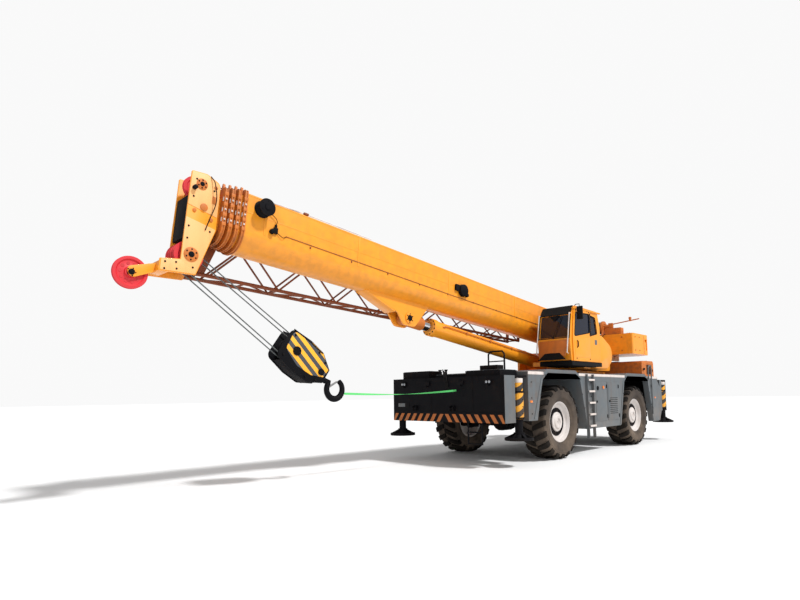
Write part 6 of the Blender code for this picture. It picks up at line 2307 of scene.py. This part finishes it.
@dataclass
class HookBlock:
    """The reeved block with its hook, hung from the head.

    Attributes:
        sheave_z: The height of the block's sheaves under the head's.
        bottom: The height of the block's lower end.
        turn: The radius of the rope's middle line round a sheave.
        rope: The rope's radius.
    """

    sheave_z: float = -2.45
    bottom: float = -3.25
    turn: float = 0.2118
    rope: float = 0.011

    def arc(self, centre: float, first: float, last: float, y: float, step: float = 9.0) -> list[Point]:
        """Points of a rope round a sheave.

        Args:
            centre: The sheave's height.
            first: The first angle in degrees.
            last: The last angle in degrees.
            y: The rope's place across the sheave.
            step: Degrees between two points.

        Returns:
            The points.
        """
        count = round(abs(last - first) / step)
        angles = [math.radians(first + (last - first) * index / count) for index in range(count + 1)]
        return [(self.turn * math.cos(a), y, centre + self.turn * math.sin(a)) for a in angles]

    def build(self) -> None:
        """Builds the rope, the block and the hook."""
        self.falls()
        self.body()
        self.covers()
        self.pins()
        self.hook()

    def falls(self) -> None:
        """The rope's falls with their turns round the sheaves."""
        turn, low = self.turn, self.sheave_z + 0.13
        route = self.arc(0.0, 45, 0, 0.15) + [(turn, 0.15, -0.13), (turn, 0.09, low)]
        route += self.arc(self.sheave_z, 0, -180, 0.09) + [(-turn, 0.09, low), (-turn, -0.03, -0.13)]
        route += self.arc(0.0, 180, 0, -0.03) + [(turn, -0.03, -0.13), (turn, -0.09, low)]
        route += self.arc(self.sheave_z, 0, -180, -0.09) + [(-turn, -0.09, low), (-turn, -0.19, -0.13)]
        rope = Sculpt(HOOK)
        rope.pipe(route, self.rope, 10)
        rope.piece("hoist_rope_falls", Paint.ROPE, "hook", replaces=("hoist_rope",))

    def body(self) -> None:
        """Cheeks, sheaves, spacers and edge guards."""
        cheek = rounded(((-0.30, -2.15, 0.12), (0.30, -2.15, 0.12), (0.36, -2.60, 0.2), (0.34, -2.95, 0.1),
                         (0.15, self.bottom, 0.02), (-0.15, self.bottom, 0.02), (-0.34, -2.95, 0.1),
                         (-0.36, -2.60, 0.2)), 8)
        inner = Sculpt(HOOK)
        for side in (1, -1):
            inner.prism(cheek, "y", both(side, 0.15, 0.178), 0.006)
        for y in (0.09, 0.0, -0.09):
            inner.lathe(sheave_profile(y, 0.19, 0.235, 0.034), (0, 0, self.sheave_z), "y", 56, ring=True)
        inner.bar((0, -0.16, self.sheave_z), (0, 0.16, self.sheave_z), 0.06, 24)
        inner.block((-0.13, 0.13), (-0.16, 0.16), (self.bottom + 0.002, self.bottom + 0.20), 0.01)
        for x in (-0.28, 0.28):
            inner.bar((x, -0.16, -2.86), (x, 0.16, -2.86), 0.025, 18)
        for x in (-0.25, 0.25):
            inner.block((x - 0.06, x + 0.06), (-0.150, 0.150), (-3.02, -2.90), 0.01)
        guard = [(0.305, -2.30), (0.345, -2.60), (0.325, -2.95), (0.145, -3.235), (0.13, -3.22),
                 (0.31, -2.94), (0.33, -2.60), (0.29, -2.30)]
        for side in (1, -1):
            inner.prism([(side * x, z) for x, z in guard], "y", (-0.152, 0.152), 0.003)
        inner.piece("block_body", Paint.BLACK, "hook", replaces=("hook_block",))

    def covers(self) -> None:
        """Striped covers on the cheeks."""
        cover = rounded(((-0.27, -2.20, 0.08), (0.10, -2.24, 0.10), (0.22, -2.60, 0.2), (0.18, -2.95, 0.1),
                         (0.05, -3.20, 0.03), (-0.14, -3.22, 0.03), (-0.325, -2.94, 0.1),
                         (-0.345, -2.60, 0.2)), 8)
        block = Sculpt(HOOK)
        for side in (1, -1):
            block.prism(cover, "y", both(side, 0.176, 0.186), 0.003)
        block.piece("block_covers", Paint.BLOCK_STRIPES, "hook")

    def pins(self) -> None:
        """Pins and bolts of the block."""
        bolts = Sculpt(HOOK)
        for side in (1, -1):
            face = side * 0.184
            bolts.bar((0, face - side * 0.004, self.sheave_z), (0, face + side * 0.022, self.sheave_z),
                      0.085, 32, edge=0.006)
            bolts.bolt_ring((0, face + side * 0.020, self.sheave_z), "y", 0.060, 6, 0.009, side)
            bolts.bar((0, face - side * 0.004, -3.10), (0, face + side * 0.026, -3.10), 0.065, 28,
                      edge=0.005)
            for x, z in ((-0.28, -2.86), (0.28, -2.86), (-0.22, -2.26), (0.22, -2.26), (-0.2, -3.08),
                         (0.2, -3.08)):
                bolts.bolt((x, face, z), (0, side, 0), 0.016)
            edge = [(-0.30, -2.17), (-0.335, -2.60), (-0.32, -2.93), (-0.30, -2.93), (-0.31, -2.60),
                    (-0.28, -2.17)]
            bolts.prism(edge, "y", tuple(sorted((face - side * 0.002, face + side * 0.008))), 0.002)
        bolts.piece("block_pins", Paint.BLACK, "hook")

    def hook(self) -> None:
        """The forged hook with its nut and safety latch."""
        centre = self.bottom - 0.41
        route: list[Point] = [(0, 0, self.bottom + 0.0017), (0, 0, self.bottom - 0.06),
                              (0, 0, self.bottom - 0.12)]
        scales = [1.0, 1.0, 1.0]
        steps = 30
        for index in range(steps + 1):
            angle = math.radians(100 - 280 * index / steps)
            route.append((0.19 * math.cos(angle), 0.0, centre + 0.19 * math.sin(angle)))
            scales.append(1.15 - 0.5 * abs(index / steps - 0.45))
        forged = Sculpt(HOOK)
        forged.pipe(route, 0.055, 24, scales)
        forged.bar((0, 0, self.bottom - 0.004), (0, 0, self.bottom - 0.05), 0.085, 32, edge=0.008)
        forged.piece("hook_forging", Paint.BLACK, "hook", replaces=("hook",), sharp=50.0)
        latch = Sculpt(HOOK)
        latch.prism(rounded(((0.045, centre + 0.165, 0.01), (0.06, centre + 0.125, 0.01),
                             (-0.155, centre + 0.02, 0.01),
                             (-0.165, centre + 0.05, 0.01))), "y", (-0.014, 0.014), 0.003)
        latch.bar((0.04, -0.062, centre + 0.155), (0.04, 0.062, centre + 0.155), 0.012, 16)
        latch.piece("hook_latch", Paint.STEEL, "hook")


@dataclass
class Solids:
    """The solids that show as they are, with their finishes."""

    plain: tuple[tuple[Paint, tuple[str, ...]], ...] = (
        # The hood and the winch take the darker copy of the yellow: painted shade.
        (Paint.YELLOW_SHADED, ("engine_hood", "winch_main")),
        (Paint.YELLOW, ("turret_frame", "counterweight", "cab_shell", "cab_door")),
        (Paint.GREY, ("side_deck_left", "side_deck_right")),
        # The black finish here carries painted shade as well as black paint.
        (Paint.BLACK, ("chassis_frame", "slewing_ring", "front_outrigger_box", "rear_outrigger_box",
                       "axle_front", "axle_rear", "knuckle_front_left", "knuckle_front_right",
                       "knuckle_rear_left", "knuckle_rear_right")),
        (Paint.JACK_STRIPES, ("outrigger_beam_front_left", "outrigger_beam_front_right",
                              "outrigger_beam_rear_left", "outrigger_beam_rear_right")),
        (Paint.BLACK, ("jack_leg_front_left", "jack_leg_front_right", "jack_leg_rear_left",
                       "jack_leg_rear_right")),
        (Paint.GLASS, ("windshield", "window_right", "window_quarter", "window_rear", "door_glass")),
        (Paint.SEAT, ("operator_seat", "console")),
    )

    def build(self, nodes: dict[str, bpy.types.Object]) -> None:
        """Gives each solid its finish.

        Args:
            nodes: The frame's solids by name.
        """
        for paint, names in self.plain:
            for name in names:
                solid = nodes[name]
                solid.data.materials.clear()
                solid.data.materials.append(SHOP.material(paint))
                LOG.info("%s painted %s", name, paint.name)


@dataclass
class Studio:
    """A pale floor, soft lamps and the camera of the photograph.

    Attributes:
        floor: Half of the floor's side.
        floor_shade: How pale the floor is.
        sky_light: The sky's strength as a light.
        sky_seen: What is added to it where the camera sees the sky.
        key: The main lamp: the way towards it, its strength and its spread.
        fill: The second lamp, likewise.
        stand: Where the camera stands.
        turn: Its yaw, pitch and roll in degrees.
        lens: Its focal length in millimetres, on a sensor 36 mm wide.
        shift: How far the picture is shifted on the sensor.
    """

    floor: float = 160.0
    floor_shade: float = 0.86
    sky_light: float = 0.5
    sky_seen: float = 0.45
    key: tuple[Point, float, float] = ((-0.25, 0.72, 0.95), 3.1, 0.10)
    fill: tuple[Point, float, float] = ((0.5, 0.9, 0.35), 0.5, 0.6)
    stand: Point = (11.0654, 8.433, 1.649)
    turn: Point = (223.71, 5.092, -0.777)
    lens: float = 23.71
    shift: Pair = (-0.0235, 0.0603)

    def build(self) -> None:
        """Builds the studio."""
        floor = Sculpt(Matrix.Identity(4))
        floor.block((-self.floor, self.floor), (-self.floor, self.floor), (-0.10, -0.001), 0.0)
        mesh = bpy.data.meshes.new("studio_floor")
        floor.mesh.to_mesh(mesh)
        floor.mesh.free()
        ground = bpy.data.objects.new("studio_floor", mesh)
        bpy.context.scene.collection.objects.link(ground)
        material = bpy.data.materials.new("studio_floor")
        material.use_nodes = True
        shader = material.node_tree.nodes["Principled BSDF"]
        shader.inputs["Base Color"].default_value = (*[self.floor_shade] * 3, 1.0)
        shader.inputs["Roughness"].default_value = 0.9
        mesh.materials.append(material)
        world = bpy.data.worlds.new("studio")
        world.use_nodes = True
        sky = world.node_tree.nodes["Background"]
        sky.inputs["Color"].default_value = (1.0, 1.0, 1.0, 1.0)
        seen = world.node_tree.nodes.new("ShaderNodeLightPath")
        strength = math_node(world.node_tree, "MULTIPLY_ADD", seen.outputs["Is Camera Ray"], self.sky_seen)
        strength.node.inputs[2].default_value = self.sky_light
        world.node_tree.links.new(strength, sky.inputs["Strength"])
        bpy.context.scene.world = world
        self.sun("key", *self.key)
        self.sun("fill", *self.fill)
        self.camera()
        bpy.context.scene.view_settings.view_transform = "Standard"

    def sun(self, name: str, towards: Point, strength: float, spread: float) -> None:
        """Adds a distant lamp.

        Args:
            name: The lamp's name.
            towards: The way from the crane to the lamp.
            strength: Its strength.
            spread: Its angle in radians, which softens shadows.
        """
        lamp = bpy.data.lights.new(name, "SUN")
        lamp.energy = strength
        lamp.angle = spread
        made = bpy.data.objects.new(name, lamp)
        made.rotation_euler = Vector(towards).to_track_quat("Z", "Y").to_euler()
        bpy.context.scene.collection.objects.link(made)

    def camera(self) -> None:
        """Adds the camera as it stood for the photograph."""
        yaw, pitch, roll = (math.radians(value) for value in self.turn)
        ahead = Vector((math.cos(yaw) * math.cos(pitch), math.sin(yaw) * math.cos(pitch), math.sin(pitch)))
        right = ahead.cross(Vector((0, 0, 1))).normalized()
        up = right.cross(ahead)
        level = right * math.cos(roll) + up * math.sin(roll)
        upright = up * math.cos(roll) - right * math.sin(roll)
        turn = Matrix((level, upright, -ahead)).transposed().to_4x4()
        lens = bpy.data.cameras.new("photo_view")
        lens.lens = self.lens
        lens.sensor_width = 36.0
        lens.shift_x, lens.shift_y = self.shift
        lens.clip_end = 400.0
        made = bpy.data.objects.new("photo_view", lens)
        made.matrix_world = Matrix.Translation(self.stand) @ turn
        bpy.context.scene.collection.objects.link(made)
        bpy.context.scene.camera = made


WHEELS = (("front_left", FRONT_AXLE, 1), ("front_right", FRONT_AXLE, -1), ("rear_left", REAR_AXLE, 1),
          ("rear_right", REAR_AXLE, -1))
JACKS = (("front_left", 4.38, 1), ("front_right", 4.74, -1), ("rear_left", -4.75, 1),
         ("rear_right", -4.39, -1))
SECTIONS = ("boom", "section_2", "section_3", "section_4", "tip")


def main() -> None:
    """Dresses the crane and sets up the studio."""
    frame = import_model()
    Solids().build(frame["nodes"])
    for key, x, side in WHEELS:
        Wheel(key, x, side).build()
    for key, x, side in JACKS:
        Jack(key, x, side).build()
    Deck("left", 1).build()
    Deck("right", -1).build()
    FrontEnd().build()
    RearEnd().build()
    Turret().build()
    Cab().build()
    for index, body in enumerate(SECTIONS):
        BoomSection(index).build(body)
    BoomDress().build()
    BoomHead().build()
    Jib().build()
    LiftCylinder().build()
    HookBlock().build()
    Studio().build()


if __name__ == "__main__":
    logging.basicConfig(level=logging.INFO, format="%(message)s")
    main()
